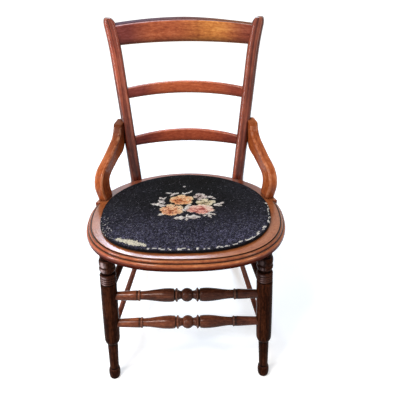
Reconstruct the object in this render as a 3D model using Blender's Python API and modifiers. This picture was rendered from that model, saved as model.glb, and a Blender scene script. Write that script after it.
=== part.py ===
# A side chair with hip rests: oval moulded seat frame, turned front legs, bowed back rails, needlepoint pad.
# Metres, +Z up. The chair faces -Y and stands on the floor at height zero.

import math

import bmesh
import bpy
import numpy as np
from mathutils import Vector

# Fits
GAP = 0.0003  # left between pieces that touch

# Seat frame
SEAT_HEIGHT = 0.4248
SEAT_THICKNESS = 0.0280
SEAT_HALF_WIDTH = 0.2463
SEAT_FRONT_DEPTH = 0.2035  # from the widest line to the front edge
SEAT_REAR_DEPTH = 0.210
SEAT_FRONT_POWER = 2.5  # 2 makes an ellipse, more makes it squarer
SEAT_REAR_POWER = 2.0
SEAT_STATIONS = 72
RIM_WIDTH = 0.062
FRONT_SEAM_Y = -0.080  # where the front rail meets the side rails
REAR_SEAM_Y = 0.050  # where the side rails meet the rear rail
REAR_EDGE_ROUND = 0.003

# Edge moulding of the front and side rails, from the flat top outwards and down
MOULDING_WIDTH = 0.0145
QUIRK_DEPTH = 0.0014
OVOLO_WIDTH = 0.0078
OVOLO_DROP = 0.0056
FILLET_DROP = 0.0012
FILLET_WIDTH = 0.0012
BEAD_DROP = 0.0075
EDGE_TUCK = 0.006  # how far the edge draws in again at the underside

# Loose tenons in the seat frame's joints
JOINT_TENON_THICKNESS = 0.008
JOINT_TENON_LENGTH = 0.044
JOINT_SHOULDER = 0.016  # rim left on each side of the tenon

# Front legs: how far their tops stand inside the seat's sides and front, and how far they splay to the floor
LEG_SIDE_INSET = 0.0638
LEG_FRONT_INSET = 0.0725
LEG_SPLAY_SIDE = 0.0193
LEG_SPLAY_FRONT = 0.0285
LEG_SIDES = 18
LEG_TENON_RADIUS = 0.011
LEG_TENON_COVER = 0.009  # wood left above the tenon
LEG_NECK = 0.012  # plain neck under the seat
LEG_NECK_RADIUS = 0.0165
LEG_BULB = 0.0205  # heights of the turnings, from the neck down
LEG_RING = 0.0163
LEG_COVE = 0.0048
LEG_COLLAR = 0.0096
LEG_FINE_RING = 0.0057
LEG_FINE_RINGS = 3
LEG_BEAD_RADIUS = 0.0193
LEG_BEAD_ROOT = 0.0174
LEG_COVE_RADIUS = 0.0148
LEG_BARREL_TOP_RADIUS = 0.0193
LEG_BARREL_FOOT_RADIUS = 0.0194
LEG_SHOULDER_HEIGHT = 0.1420  # above the floor
LEG_ANKLE_HEIGHT = 0.1255
LEG_ANKLE_RADIUS = 0.0134
LEG_ANKLE_LOW_RADIUS = 0.0119
LEG_FOOT_HEIGHT = 0.033
LEG_FOOT_RADIUS = 0.0151
LEG_FOOT_BASE_RADIUS = 0.0085

# Front stretchers, turned: distances are from the middle
FRONT_STRETCHER_HEIGHTS = {"upper": 0.2735, "lower": 0.187}
STRETCHER_SIDES = 16
BALL_RADIUS = 0.0166
WAIST_RADIUS = 0.0098
DISC_RADIUS = 0.0168
DISC_AT = 0.0252
DISC_WIDTH = 0.004
GROOVE_RADIUS = 0.0125
VASE_START = 0.0312
VASE_START_RADIUS = 0.0146
VASE_RADIUS = 0.0166
VASE_AT = 0.0455
STRETCHER_NECK_RADIUS = 0.0105
STRETCHER_NECK_AT = 0.113
STRETCHER_RING_RADIUS = 0.0134
STRETCHER_RING_WIDTH = 0.005
STRETCHER_CONE_RADIUS = 0.0129
STRETCHER_END_RADIUS = 0.0106

# Plain stretchers: heights at the front leg and at the rear leg
SIDE_STRETCHER_HEIGHTS = {"upper": (0.2805, 0.3003), "lower": (0.1475, 0.1608)}
REAR_STRETCHER_HEIGHT = 0.2285
ROD_SIDES = 12
ROD_RADIUS = 0.0075
ROD_END_RADIUS = 0.0062
ROD_TENON = 0.012  # how deep a rod goes into a rear leg
ROD_TIP_FROM_AXIS = 0.005  # where a rod stops short of the front leg's axis
SOCKET_WEB = 0.003  # wood between two sockets in a leg

# Back posts
BACK_HEIGHT = 0.4187  # from the seat's top to the ears
POST_HALF_SPACING = 0.1428  # middle of the front face, at the seat
POST_HOUSING = 0.0055  # how far the front face is let into the seat's edge
POST_WIDTH = 0.0318
POST_DEPTH = 0.025
POST_TOP_DEPTH = 0.021
POST_TURN = math.radians(16)  # the front faces look inwards
POST_FLARE = 0.0421  # how far the posts have spread at the ears
BACK_LEAN = 0.1021  # how far they would lean back there if they were straight
BACK_BOW = 0.0056  # how far they curve forwards again
POST_FRONT_ROUND = 0.0075
POST_BACK_ROUND = 0.003
EAR_CURL = 0.0065  # outward sweep at the top
EAR_CURL_HEIGHT = 0.100
EAR_ROUND = 0.021
EAR_INNER_SHARE = 0.45  # shares of the half width taken off at the ear's tip
EAR_OUTER_SHARE = 0.30
REAR_FOOT_HALF_SPACING = 0.154
REAR_FOOT_FRONT_Y = 0.2865
REAR_FOOT_WIDTH = 0.025
REAR_FOOT_DEPTH = 0.023
REAR_FOOT_SWEEP = math.radians(21.8)  # backward lean of the rear leg at the floor
LEG_STATIONS = 9
BACK_STATIONS = 13
EAR_STATIONS = 5

# Back rails: heights at the ends and at the middle, and how far the middle rises above the ends.
# The shares say where the ends stand on the back, in the same order.
RAIL_SHARES = (0.8983, 0.5534, 0.2498)
RAILS = {
    "crest_rail": {"ends": 0.0478, "middle": 0.0540, "rise": 0.0061, "thickness": 0.0140},
    "upper_slat": {"ends": 0.0260, "middle": 0.0303, "rise": 0.0082, "thickness": 0.0125},
    "lower_slat": {"ends": 0.0228, "middle": 0.0320, "rise": 0.0054, "thickness": 0.0125},
}
RAIL_BOW = 0.036
RAIL_TENON = 0.011
RAIL_ROUND = 0.003
RAIL_STATIONS = 17

# Hip rests: outlines as shares of the reach to the post and of the rise
REST_FOOT_Y = 0.075
REST_EDGE_MARGIN = 0.001
REST_THICKNESS = 0.0238
REST_RISE = 0.160
REST_JOIN_HEIGHT = 0.130  # above the seat, where the rest meets the post
REST_LAP = 0.0025
REST_ROUND = 0.006
REST_STEPS = 4
REST_FRONT_SHARES = ((-0.14, 0), (-0.235, 0.29), (-0.10, 0.505), (0.33, 0.65), (0.76, 0.82), (0.91, 1))
REST_REAR_SHARES = ((0.175, 0), (0.125, 0.225), (0.21, 0.352), (0.60, 0.465), (0.985, 0.575), (1.176, 1.035))

# Pad: margins are from the seat's edge to the pad's edge
PAD_SIDE_MARGIN = 0.0365
PAD_FRONT_MARGIN = 0.034
PAD_REAR_MARGIN = 0.026
PAD_FRONT_POWER = 2.4
PAD_REAR_POWER = 2.0
PAD_STATIONS = 44
COVER_THICKNESS = 0.0016
COVER_LIP = 0.012  # width turned under the board
BOARD_THICKNESS = 0.005
STUFFING_EDGE = 0.0036
STUFFING_CROWN = 0.0072
STUFFING_SHOULDER = 0.0025  # radius of the stuffing's top edge

# Wood screws
SCREW_SIDES = 10
SCREW_HEAD_RADIUS = 0.0042
SCREW_HEAD_HEIGHT = 0.003
SCREW_SHANK_RADIUS = 0.0021
SCREW_TIP = 0.005
SCREW_SINK = 0.0004  # how far the head lies under the surface
POST_SCREW_BITE = 0.024  # length in the piece that the screw holds
REST_SCREW_BITE = 0.014
REST_FOOT_SCREW_BITE = 0.018
BOARD_SCREW_BITE = 0.003
BOARD_SCREW_X = 0.070
BOARD_SCREW_EDGE = 0.010  # from the rim's inner edge
REST_SCREW_HEIGHT = 0.140  # above the seat

# Values that follow from the ones above
SEAT_UNDERSIDE = SEAT_HEIGHT - SEAT_THICKNESS
BACK_TOP = SEAT_HEIGHT + BACK_HEIGHT
BOTH_SIDES = {"left": -1, "right": 1}
CUT_MARGIN = 0.02  # how far a cutter reaches past what it cuts
FAR = 2 * (SEAT_HALF_WIDTH + SEAT_FRONT_DEPTH + SEAT_REAR_DEPTH)  # outside the chair's plan


# Scene, materials and modelling tools


def clear_scene():
    for old in list(bpy.data.objects):
        bpy.data.objects.remove(old)


def new_collection(name):
    made = bpy.data.collections.new(name)
    bpy.context.scene.collection.children.link(made)
    return made


def new_material(name, colour, roughness, metallic=0.0):
    made = bpy.data.materials.new(name)
    made.use_nodes = True
    shader = made.node_tree.nodes["Principled BSDF"]
    shader.inputs["Base Color"].default_value = (*colour, 1)
    shader.inputs["Roughness"].default_value = roughness
    shader.inputs["Metallic"].default_value = metallic
    return made


def add_part(name, mesh, material):
    part = bpy.data.objects.new(name, mesh)
    part.data.materials.append(material)
    PARTS.objects.link(part)
    part.parent = CHAIR
    return part


def add_cutter(name, mesh):
    cutter = bpy.data.objects.new(name, mesh)
    cutter.hide_render = True
    cutter.display_type = "WIRE"
    CUTTERS.objects.link(cutter)
    cutter.parent = CHAIR
    return cutter


def combine(part, cutter, operation="DIFFERENCE"):
    change = part.modifiers.new(cutter.name, "BOOLEAN")
    change.operation = operation
    change.solver = "EXACT"
    change.object = cutter


def finish_mesh(name, bm):
    bmesh.ops.recalc_face_normals(bm, faces=bm.faces)
    mesh = bpy.data.meshes.new(name)
    bm.to_mesh(mesh)
    bm.free()
    mesh.shade_smooth()
    mesh.set_sharp_from_angle(angle=math.radians(35))
    return mesh


def loft(name, sections):
    # Joins sections of equal point counts and closes both ends. A section of one point is a pole.
    bm = bmesh.new()
    rings = [[bm.verts.new(point) for point in section] for section in sections]
    for low, high in zip(rings, rings[1:]):
        for i in range(max(len(low), len(high))):
            corners = [low[i - 1], low[i]] if len(low) > 1 else [low[0]]
            corners += [high[i], high[i - 1]] if len(high) > 1 else [high[0]]
            bm.faces.new(corners)
    for end in (rings[0], rings[-1]):
        if len(end) > 1:
            bm.faces.new(end)
    return finish_mesh(name, bm)


def prism(name, outline, bottom, top):
    return loft(name, [[(x, y, bottom) for x, y in outline], [(x, y, top) for x, y in outline]])


def flat_curve(name, points):
    curve = bpy.data.curves.new(name, "CURVE")
    curve.dimensions = "2D"
    curve.fill_mode = "NONE"
    spline = curve.splines.new("POLY")
    spline.points.add(len(points) - 1)
    for spot, (x, y) in zip(spline.points, points):
        spot.co = (x, y, 0, 1)
    spline.use_cyclic_u = True
    made = bpy.data.objects.new(name, curve)
    CUTTERS.objects.link(made)
    return made


def swept_ring(name, path, profile):
    # Sweeps a profile of (inset, height) points along a closed flat path that runs anticlockwise.
    guide = flat_curve(name + "_path", path)
    section = flat_curve(name + "_section", profile)
    guide.data.bevel_mode = "OBJECT"
    guide.data.bevel_object = section
    graph = bpy.context.evaluated_depsgraph_get()
    swept = bpy.data.meshes.new_from_object(guide.evaluated_get(graph))
    bm = bmesh.new()
    bm.from_mesh(swept)
    bmesh.ops.remove_doubles(bm, verts=bm.verts, dist=1e-6)
    for helper in (guide, section):
        bpy.data.objects.remove(helper)
    return finish_mesh(name, bm)


def turned(part_or_cutter, sides):
    spin = part_or_cutter.modifiers.new("turning", "SCREW")
    spin.axis = "Z"
    spin.angle = math.tau
    spin.steps = sides
    spin.render_steps = sides
    spin.use_merge_vertices = True
    spin.merge_threshold = 1e-5
    spin.use_smooth_shade = True
    return part_or_cutter


def profile_mesh(name, profile):
    # A turning's outline as (radius, height) points, from the top of the axis to its bottom.
    mesh = bpy.data.meshes.new(name)
    verts = [(radius, 0, height) for radius, height in profile]
    mesh.from_pydata(verts, [(i, i + 1) for i in range(len(verts) - 1)], [])
    return mesh


def stand_along(piece, base, tip):
    # Puts the piece's own origin at base, with its +Z pointing to tip.
    piece.location = base
    piece.rotation_mode = "QUATERNION"
    piece.rotation_quaternion = (Vector(tip) - Vector(base)).to_track_quat("Z", "Y")
    return piece


def rod_cutter(name, start, end, radius, sides):
    length = (Vector(end) - Vector(start)).length
    mesh = profile_mesh(name, [(0, length), (radius, length), (radius, 0), (0, 0)])
    return turned(stand_along(add_cutter(name, mesh), start, end), sides)


def arc(start, end, count, bulge_first):
    # A quarter ellipse between two points; bulge_first says which coordinate moves first.
    points = []
    for angle in np.linspace(0, math.pi / 2, count):
        early, late = math.sin(angle), 1 - math.cos(angle)
        first, second = (early, late) if bulge_first == 0 else (late, early)
        points.append((start[0] + (end[0] - start[0]) * first, start[1] + (end[1] - start[1]) * second))
    return points


def bead(top, bottom, root, crest, count=5):
    # A half-round ring on a turning, or a hollow where the crest is smaller than the root.
    points = []
    for angle in np.linspace(0, math.pi, count):
        height = (top + bottom) / 2 + (top - bottom) / 2 * math.cos(angle)
        points.append((root + (crest - root) * math.sin(angle), height))
    return points


def rounded_rectangle(low, high, low_round, high_round, half_width, count):
    # Points (across, deep) round a rectangle from low to high, with a radius for each of those two sides.
    corners = (
        (half_width - low_round, low + low_round, low_round, -90),
        (half_width - high_round, high - high_round, high_round, 0),
        (high_round - half_width, high - high_round, high_round, 90),
        (low_round - half_width, low + low_round, low_round, 180),
    )
    points = []
    for across, deep, radius, first in corners:
        for angle in np.radians(np.linspace(first, first + 90, count)):
            points.append((across + radius * math.cos(angle), deep + radius * math.sin(angle)))
    return points


def smooth_through(points, steps):
    # A smooth curve through a few points, with the given number of steps between neighbours.
    known = [np.array(p, float) for p in points]
    known = [2 * known[0] - known[1], *known, 2 * known[-1] - known[-2]]
    curve = []
    for i in range(1, len(known) - 2):
        before, start, end, after = known[i - 1 : i + 3]
        for t in np.linspace(0, 1, steps, endpoint=False):
            bend = (2 * before - 5 * start + 4 * end - after) * t**2
            twist = (3 * (start - end) + after - before) * t**3
            curve.append(start + ((end - before) * t + bend + twist) / 2)
    return [*curve, known[-2]]


# Seat frame


def oval_point(angle, half_width, front, rear, front_power, rear_power):
    across, along = math.cos(angle), math.sin(angle)
    depth, power = (rear, rear_power) if along > 0 else (front, front_power)
    x = math.copysign(abs(across) ** (2 / power), across) * half_width
    return x, math.copysign(abs(along) ** (2 / power), along) * depth


def even_oval(count, *shape):
    # Points at even steps round an oval, anticlockwise from the middle of the front.
    angles = np.linspace(-math.pi / 2, 1.5 * math.pi, 2881)
    dense = np.array([oval_point(angle, *shape) for angle in angles])
    walked = np.concatenate([[0], np.cumsum(np.hypot(*np.diff(dense, axis=0).T))])
    stops = np.linspace(0, walked[-1], count, endpoint=False)
    return list(zip(np.interp(stops, walked, dense[:, 0]), np.interp(stops, walked, dense[:, 1])))


def seat_depth_and_power(y):
    return (SEAT_REAR_DEPTH, SEAT_REAR_POWER) if y > 0 else (SEAT_FRONT_DEPTH, SEAT_FRONT_POWER)


def seat_edge_x(y):
    depth, power = seat_depth_and_power(y)
    return SEAT_HALF_WIDTH * (1 - abs(y / depth) ** power) ** (1 / power)


def seat_edge_y(x, toward):
    depth, power = seat_depth_and_power(toward)
    return math.copysign(depth * (1 - abs(x / SEAT_HALF_WIDTH) ** power) ** (1 / power), toward)


def seat_normal(x, y):
    depth, power = seat_depth_and_power(y)
    across = math.copysign(abs(x) ** (power - 1) / SEAT_HALF_WIDTH**power, x)
    along = math.copysign(abs(y) ** (power - 1) / depth**power, y)
    return Vector((across, along)).normalized()


def moulded_profile():
    # (inset, height) points round the rim's section, starting at the inner edge of the flat top.
    quirk = (MOULDING_WIDTH, -QUIRK_DEPTH)
    ovolo_end = (quirk[0] - OVOLO_WIDTH, quirk[1] - OVOLO_DROP)
    bead_start = (ovolo_end[0] - FILLET_WIDTH, ovolo_end[1] - FILLET_DROP)
    bead_out = (0, bead_start[1] - BEAD_DROP)
    points = [(RIM_WIDTH, 0), (MOULDING_WIDTH, 0)]
    points += arc(quirk, ovolo_end, 5, 0)
    points += [(ovolo_end[0], bead_start[1])]
    points += arc(bead_start, bead_out, 4, 0)
    points += arc(bead_out, (EDGE_TUCK, -SEAT_THICKNESS), 4, 1)[1:]
    points += [(RIM_WIDTH, -SEAT_THICKNESS)]
    return [(inset, SEAT_HEIGHT + drop) for inset, drop in points]


def plain_profile():
    top = arc((REAR_EDGE_ROUND, 0), (0, -REAR_EDGE_ROUND), 3, 0)
    bottom = arc((0, REAR_EDGE_ROUND - SEAT_THICKNESS), (REAR_EDGE_ROUND, -SEAT_THICKNESS), 3, 1)
    points = [(RIM_WIDTH, 0), *top, *bottom, (RIM_WIDTH, -SEAT_THICKNESS)]
    return [(inset, SEAT_HEIGHT + drop) for inset, drop in points]


def seam(side, y):
    # A joint of the frame on one side: its point on the edge, its outward normal and its forward direction.
    x = side * seat_edge_x(y)
    out = seat_normal(x, y)
    forward = Vector((out.y, -out.x)) * side
    return Vector((x, y)), out, forward


def seam_line(side, y, forward_by):
    edge, out, forward = seam(side, y)
    moved = edge + forward * forward_by
    return moved + out * CUT_MARGIN, moved - out * (RIM_WIDTH + CUT_MARGIN)


def make_seat_frame(wood):
    shape = (SEAT_HALF_WIDTH, SEAT_FRONT_DEPTH, SEAT_REAR_DEPTH, SEAT_FRONT_POWER, SEAT_REAR_POWER)
    outline = even_oval(SEAT_STATIONS, *shape)
    moulded = swept_ring("moulded_rim", outline, moulded_profile())
    plain = swept_ring("plain_rim", outline, plain_profile())
    half = GAP / 2
    front_right, front_left = (seam_line(side, FRONT_SEAM_Y, half) for side in (1, -1))
    rear_right, rear_left = (seam_line(side, REAR_SEAM_Y, -half) for side in (1, -1))
    front_area = [front_right[1], front_right[0], (FAR, -FAR), (-FAR, -FAR), front_left[0], front_left[1]]
    rear_area = [rear_right[1], rear_left[1], rear_left[0], (-FAR, FAR), (FAR, FAR), rear_right[0]]
    areas = {"front_seat_rail": (moulded, front_area), "rear_seat_rail": (plain, rear_area)}
    for name, side in BOTH_SIDES.items():
        ahead = seam_line(side, FRONT_SEAM_Y, -half)
        behind = seam_line(side, REAR_SEAM_Y, half)
        side_area = [ahead[1], ahead[0], (side * FAR, ahead[0].y), (side * FAR, behind[0].y), *behind]
        areas[name + "_seat_rail"] = (moulded, side_area)
    rails = {}
    for name, (ring, area) in areas.items():
        rails[name] = add_part(name, ring.copy(), wood)
        low, high = SEAT_UNDERSIDE - CUT_MARGIN, SEAT_HEIGHT + CUT_MARGIN
        combine(rails[name], add_cutter(name + "_area", prism(name + "_area", area, low, high)), "INTERSECT")
    return rails


def tenon_box(side, y, grow):
    # Plan outline of a loose tenon centred on a joint of the frame.
    edge, out, forward = seam(side, y)
    middle = edge - out * (RIM_WIDTH / 2)
    across = out * (RIM_WIDTH / 2 - JOINT_SHOULDER + grow)
    along = forward * (JOINT_TENON_LENGTH / 2 + grow)
    turns = ((1, 1), (1, -1), (-1, -1), (-1, 1))
    return [middle + across * a + along * b for a, b in turns]


def make_joint_tenons(rails, wood):
    middle = SEAT_HEIGHT - SEAT_THICKNESS / 2
    half = JOINT_TENON_THICKNESS / 2
    for side_name, side in BOTH_SIDES.items():
        for place, y in (("front", FRONT_SEAM_Y), ("rear", REAR_SEAM_Y)):
            name = f"seat_joint_tenon_{place}_{side_name}"
            add_part(name, prism(name, tenon_box(side, y, 0), middle - half, middle + half), wood)
            hole = prism(name, tenon_box(side, y, GAP), middle - half - GAP, middle + half + GAP)
            cutter = add_cutter(name + "_mortise", hole)
            combine(rails[f"{place}_seat_rail"], cutter)
            combine(rails[f"{side_name}_seat_rail"], cutter)


# Front legs and stretchers


def leg_axis(side, height):
    splayed = 1 - height / SEAT_UNDERSIDE
    x = SEAT_HALF_WIDTH - LEG_SIDE_INSET + LEG_SPLAY_SIDE * splayed
    y = LEG_FRONT_INSET - SEAT_FRONT_DEPTH - LEG_SPLAY_FRONT * splayed
    return Vector((side * x, y, height))


def leg_profile(length, shoulder):
    # From the tenon's top down the turnings to a point below the floor, where the foot is sawn level.
    tenon_top = length + SEAT_THICKNESS - LEG_TENON_COVER
    points = [(0, tenon_top), (LEG_TENON_RADIUS, tenon_top), (LEG_TENON_RADIUS, shoulder)]
    points += [(LEG_NECK_RADIUS, shoulder)]
    height = length - LEG_NECK
    points += bead(height, height - LEG_BULB, LEG_NECK_RADIUS, LEG_BEAD_RADIUS)
    height -= LEG_BULB
    points += bead(height, height - LEG_RING, LEG_BEAD_ROOT, LEG_BEAD_RADIUS)
    height -= LEG_RING
    points += bead(height, height - LEG_COVE, LEG_BEAD_ROOT, LEG_COVE_RADIUS)[1:-1]
    height -= LEG_COVE
    points += bead(height, height - LEG_COLLAR, LEG_BEAD_ROOT, LEG_BEAD_RADIUS)
    height -= LEG_COLLAR
    for _ in range(LEG_FINE_RINGS):
        points += bead(height, height - LEG_FINE_RING, LEG_BEAD_ROOT, LEG_BARREL_TOP_RADIUS, 4)[1:]
        height -= LEG_FINE_RING
    points += [(LEG_BARREL_TOP_RADIUS, height - GAP)]
    shoulder_start = (LEG_BARREL_FOOT_RADIUS, LEG_SHOULDER_HEIGHT)
    points += arc(shoulder_start, (LEG_ANKLE_RADIUS, LEG_ANKLE_HEIGHT), 4, 1)
    points += [(LEG_ANKLE_LOW_RADIUS, LEG_FOOT_HEIGHT)]
    points += bead(LEG_FOOT_HEIGHT, 0, LEG_ANKLE_LOW_RADIUS, LEG_FOOT_RADIUS, 7)[1:-1]
    points += [(LEG_FOOT_BASE_RADIUS, 0), (LEG_FOOT_BASE_RADIUS, -LEG_FOOT_RADIUS), (0, -LEG_FOOT_RADIUS)]
    return points


def make_front_legs(rails, wood):
    floor = [(-FAR, -FAR), (FAR, -FAR), (FAR, FAR), (-FAR, FAR)]
    below_floor = add_cutter("below_floor", prism("below_floor", floor, -FAR, 0))
    legs = {}
    for name, side in BOTH_SIDES.items():
        base, top = leg_axis(side, 0), leg_axis(side, SEAT_UNDERSIDE)
        length = (top - base).length
        lean = math.hypot(top.x - base.x, top.y - base.y) / SEAT_UNDERSIDE
        shoulder = length - GAP - LEG_NECK_RADIUS * lean
        leg = add_part(f"{name}_front_leg", profile_mesh("leg", leg_profile(length, shoulder)), wood)
        legs[name] = turned(stand_along(leg, base, top), LEG_SIDES)
        combine(legs[name], below_floor)
        tenon_end = base + (top - base) * ((length + SEAT_THICKNESS - LEG_TENON_COVER + GAP) / length)
        socket_start = base + (top - base) * (1 - CUT_MARGIN / length)
        socket = rod_cutter(f"{name}_leg_socket", socket_start, tenon_end, LEG_TENON_RADIUS + GAP, LEG_SIDES)
        combine(rails["front_seat_rail"], socket)
    return legs


def stretcher_half(half_length):
    # (radius, distance from the middle) points, from the ball to the end of one half.
    ball_edge = math.sqrt(BALL_RADIUS**2 - WAIST_RADIUS**2)
    last = math.asin(ball_edge / BALL_RADIUS)
    points = [(BALL_RADIUS * math.cos(a), BALL_RADIUS * math.sin(a)) for a in np.linspace(0, last, 5)]
    points += arc((WAIST_RADIUS, ball_edge), (DISC_RADIUS, DISC_AT - DISC_WIDTH / 2), 4, 1)[1:]
    points += [(DISC_RADIUS, DISC_AT + DISC_WIDTH / 4), (GROOVE_RADIUS, DISC_AT + DISC_WIDTH)]
    points += arc((VASE_START_RADIUS, VASE_START), (VASE_RADIUS, VASE_AT), 4, 0)
    for share in np.linspace(0, 1, 6)[1:]:
        full = (1 + math.cos(math.pi * share)) / 2
        radius = STRETCHER_NECK_RADIUS + (VASE_RADIUS - STRETCHER_NECK_RADIUS) * full
        points.append((radius, VASE_AT + (STRETCHER_NECK_AT - VASE_AT) * share))
    ring_end = STRETCHER_NECK_AT + STRETCHER_RING_WIDTH
    points += [(r, 2 * STRETCHER_NECK_AT + STRETCHER_RING_WIDTH - z) for r, z in
               bead(ring_end, STRETCHER_NECK_AT, STRETCHER_CONE_RADIUS, STRETCHER_RING_RADIUS, 4)]
    cone_end = half_length - STRETCHER_END_RADIUS
    return [*points, (STRETCHER_END_RADIUS, cone_end), (STRETCHER_END_RADIUS, half_length)]


def make_front_stretchers(legs, wood):
    tip_from_axis = ROD_END_RADIUS + 2 * GAP + SOCKET_WEB
    for place, height in FRONT_STRETCHER_HEIGHTS.items():
        name = f"{place}_front_stretcher"
        half_length = leg_axis(1, height).x - tip_from_axis
        half = stretcher_half(half_length)
        profile = [(0, half_length), *reversed(half), *((r, -d) for r, d in half[1:]), (0, -half_length)]
        middle = (leg_axis(-1, height) + leg_axis(1, height)) / 2
        bar = add_part(name, profile_mesh(name, profile), wood)
        turned(stand_along(bar, middle, middle + Vector((1, 0, 0))), STRETCHER_SIDES)
        for side_name, side in BOTH_SIDES.items():
            tip = middle + Vector((side * (half_length + GAP), 0, 0))
            mouth = middle + Vector((side * (half_length - tip_from_axis - LEG_BARREL_TOP_RADIUS), 0, 0))
            radius = STRETCHER_END_RADIUS + GAP
            socket = rod_cutter(f"{side_name}_{name}_socket", mouth, tip, radius, STRETCHER_SIDES)
            combine(legs[side_name], socket)


def rod_profile(length):
    points = [(0, length), (ROD_END_RADIUS, length)]
    for share in np.linspace(1, 0, 7):
        radius = ROD_END_RADIUS + (ROD_RADIUS - ROD_END_RADIUS) * math.sin(math.pi * share)
        points.append((radius, ROD_TENON + (length - 2 * ROD_TENON) * share))
    return [*points, (ROD_END_RADIUS, 0), (0, 0)]


def add_rod(name, start, end, wood, held_at_start, held_at_end):
    direction = (end - start).normalized()
    rod = add_part(name, profile_mesh(name, rod_profile((end - start).length)), wood)
    turned(stand_along(rod, start, end), ROD_SIDES)
    reach = direction * (ROD_TENON + CUT_MARGIN)
    ends = {"start": (start - direction * GAP, start + reach, held_at_start),
            "end": (end - reach, end + direction * GAP, held_at_end)}
    for place, (low, high, holder) in ends.items():
        combine(holder, rod_cutter(f"{name}_{place}_socket", low, high, ROD_END_RADIUS + GAP, ROD_SIDES))


def make_plain_stretchers(legs, posts, wood):
    for side_name, side in BOTH_SIDES.items():
        for place, (front_height, rear_height) in SIDE_STRETCHER_HEIGHTS.items():
            front = leg_axis(side, front_height)
            rear = Vector((side * post_x(rear_height), post_front_y(rear_height) + ROD_TENON, rear_height))
            start = front + (rear - front).normalized() * ROD_TIP_FROM_AXIS
            name = f"{side_name}_{place}_side_stretcher"
            add_rod(name, start, rear, wood, legs[side_name], posts[side_name])
    width, depth = post_size(REAR_STRETCHER_HEIGHT)
    ends = {}
    for side_name, side in BOTH_SIDES.items():
        tip_x = post_x(REAR_STRETCHER_HEIGHT) + depth / 2 * math.sin(POST_TURN) - width / 2 + ROD_TENON
        tip_y = post_front_y(REAR_STRETCHER_HEIGHT) + depth / 2 * math.cos(POST_TURN)
        ends[side_name] = Vector((side * tip_x, tip_y, REAR_STRETCHER_HEIGHT))
    add_rod("rear_stretcher", ends["left"], ends["right"], wood, posts["left"], posts["right"])


# Back posts and rails


def leg_share(z):
    # Zero at the seat's top and one at the floor.
    return max(0.0, 1 - z / SEAT_HEIGHT)


def post_x(z):
    if z > SEAT_HEIGHT:
        curled = max(0.0, (z - BACK_TOP + EAR_CURL_HEIGHT) / EAR_CURL_HEIGHT)
        return POST_HALF_SPACING + POST_FLARE * (z - SEAT_HEIGHT) / BACK_HEIGHT + EAR_CURL * curled**2
    return POST_HALF_SPACING + (REAR_FOOT_HALF_SPACING - POST_HALF_SPACING) * leg_share(z)


def post_front_y(z):
    at_seat = seat_edge_y(POST_HALF_SPACING, 1) - POST_HOUSING
    rise = (z - SEAT_HEIGHT) / BACK_HEIGHT
    if rise > 0:
        return at_seat + BACK_LEAN * rise - BACK_BOW * rise**2
    # Below the seat the leg sweeps back in one smooth curve to the rear foot.
    t = leg_share(z)
    start_slope = -BACK_LEAN / BACK_HEIGHT * SEAT_HEIGHT
    end_slope = math.tan(REAR_FOOT_SWEEP) * SEAT_HEIGHT
    travel = REAR_FOOT_FRONT_Y - at_seat
    bend = (3 * travel - 2 * start_slope - end_slope) * t**2
    return at_seat + start_slope * t + bend + (start_slope + end_slope - 2 * travel) * t**3


def post_size(z):
    if z > SEAT_HEIGHT:
        share = (z - SEAT_HEIGHT) / BACK_HEIGHT
        return POST_WIDTH, POST_DEPTH + (POST_TOP_DEPTH - POST_DEPTH) * share
    share = leg_share(z)
    width = POST_WIDTH + (REAR_FOOT_WIDTH - POST_WIDTH) * share
    return width, POST_DEPTH + (REAR_FOOT_DEPTH - POST_DEPTH) * share


def on_post(side, z, across, deep):
    # A point of the post's section: across is outwards and deep is backwards, from the front face's middle.
    x = post_x(z) + across * math.cos(POST_TURN) + deep * math.sin(POST_TURN)
    y = post_front_y(z) - across * math.sin(POST_TURN) + deep * math.cos(POST_TURN)
    return Vector((side * x, y, z))


def post_section(side, z, grow):
    width, depth = post_size(z)
    points = rounded_rectangle(
        -grow, depth + grow, POST_FRONT_ROUND + grow, POST_BACK_ROUND + grow, width / 2 + grow, 3
    )
    in_ear = max(0.0, (z - BACK_TOP + EAR_ROUND) / EAR_ROUND)
    taken = 1 - math.sqrt(max(0.0, 1 - in_ear**2))
    kept = 1 - (EAR_INNER_SHARE + EAR_OUTER_SHARE) * taken
    moved = (EAR_INNER_SHARE - EAR_OUTER_SHARE) * taken * width / 2
    return [on_post(side, z, across * kept + moved, deep) for across, deep in points]


def post_mesh(name, side, grow):
    heights = [*np.linspace(0, SEAT_HEIGHT, LEG_STATIONS)]
    heights += [*np.linspace(SEAT_HEIGHT, BACK_TOP - EAR_ROUND, BACK_STATIONS)[1:]]
    ear_angles = np.linspace(0, math.pi / 2, EAR_STATIONS)[1:]
    heights += [BACK_TOP - EAR_ROUND * (1 - math.sin(angle)) for angle in ear_angles]
    return loft(name, [post_section(side, z, grow) for z in heights])


def make_posts(rails, wood):
    posts, seats = {}, {}
    for name, side in BOTH_SIDES.items():
        posts[name] = add_part(f"{name}_back_post", post_mesh("post", side, 0), wood)
        seats[name] = add_cutter(f"{name}_post_seat", post_mesh("post_seat", side, GAP))
        combine(rails["rear_seat_rail"], seats[name])
    return posts, seats


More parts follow.
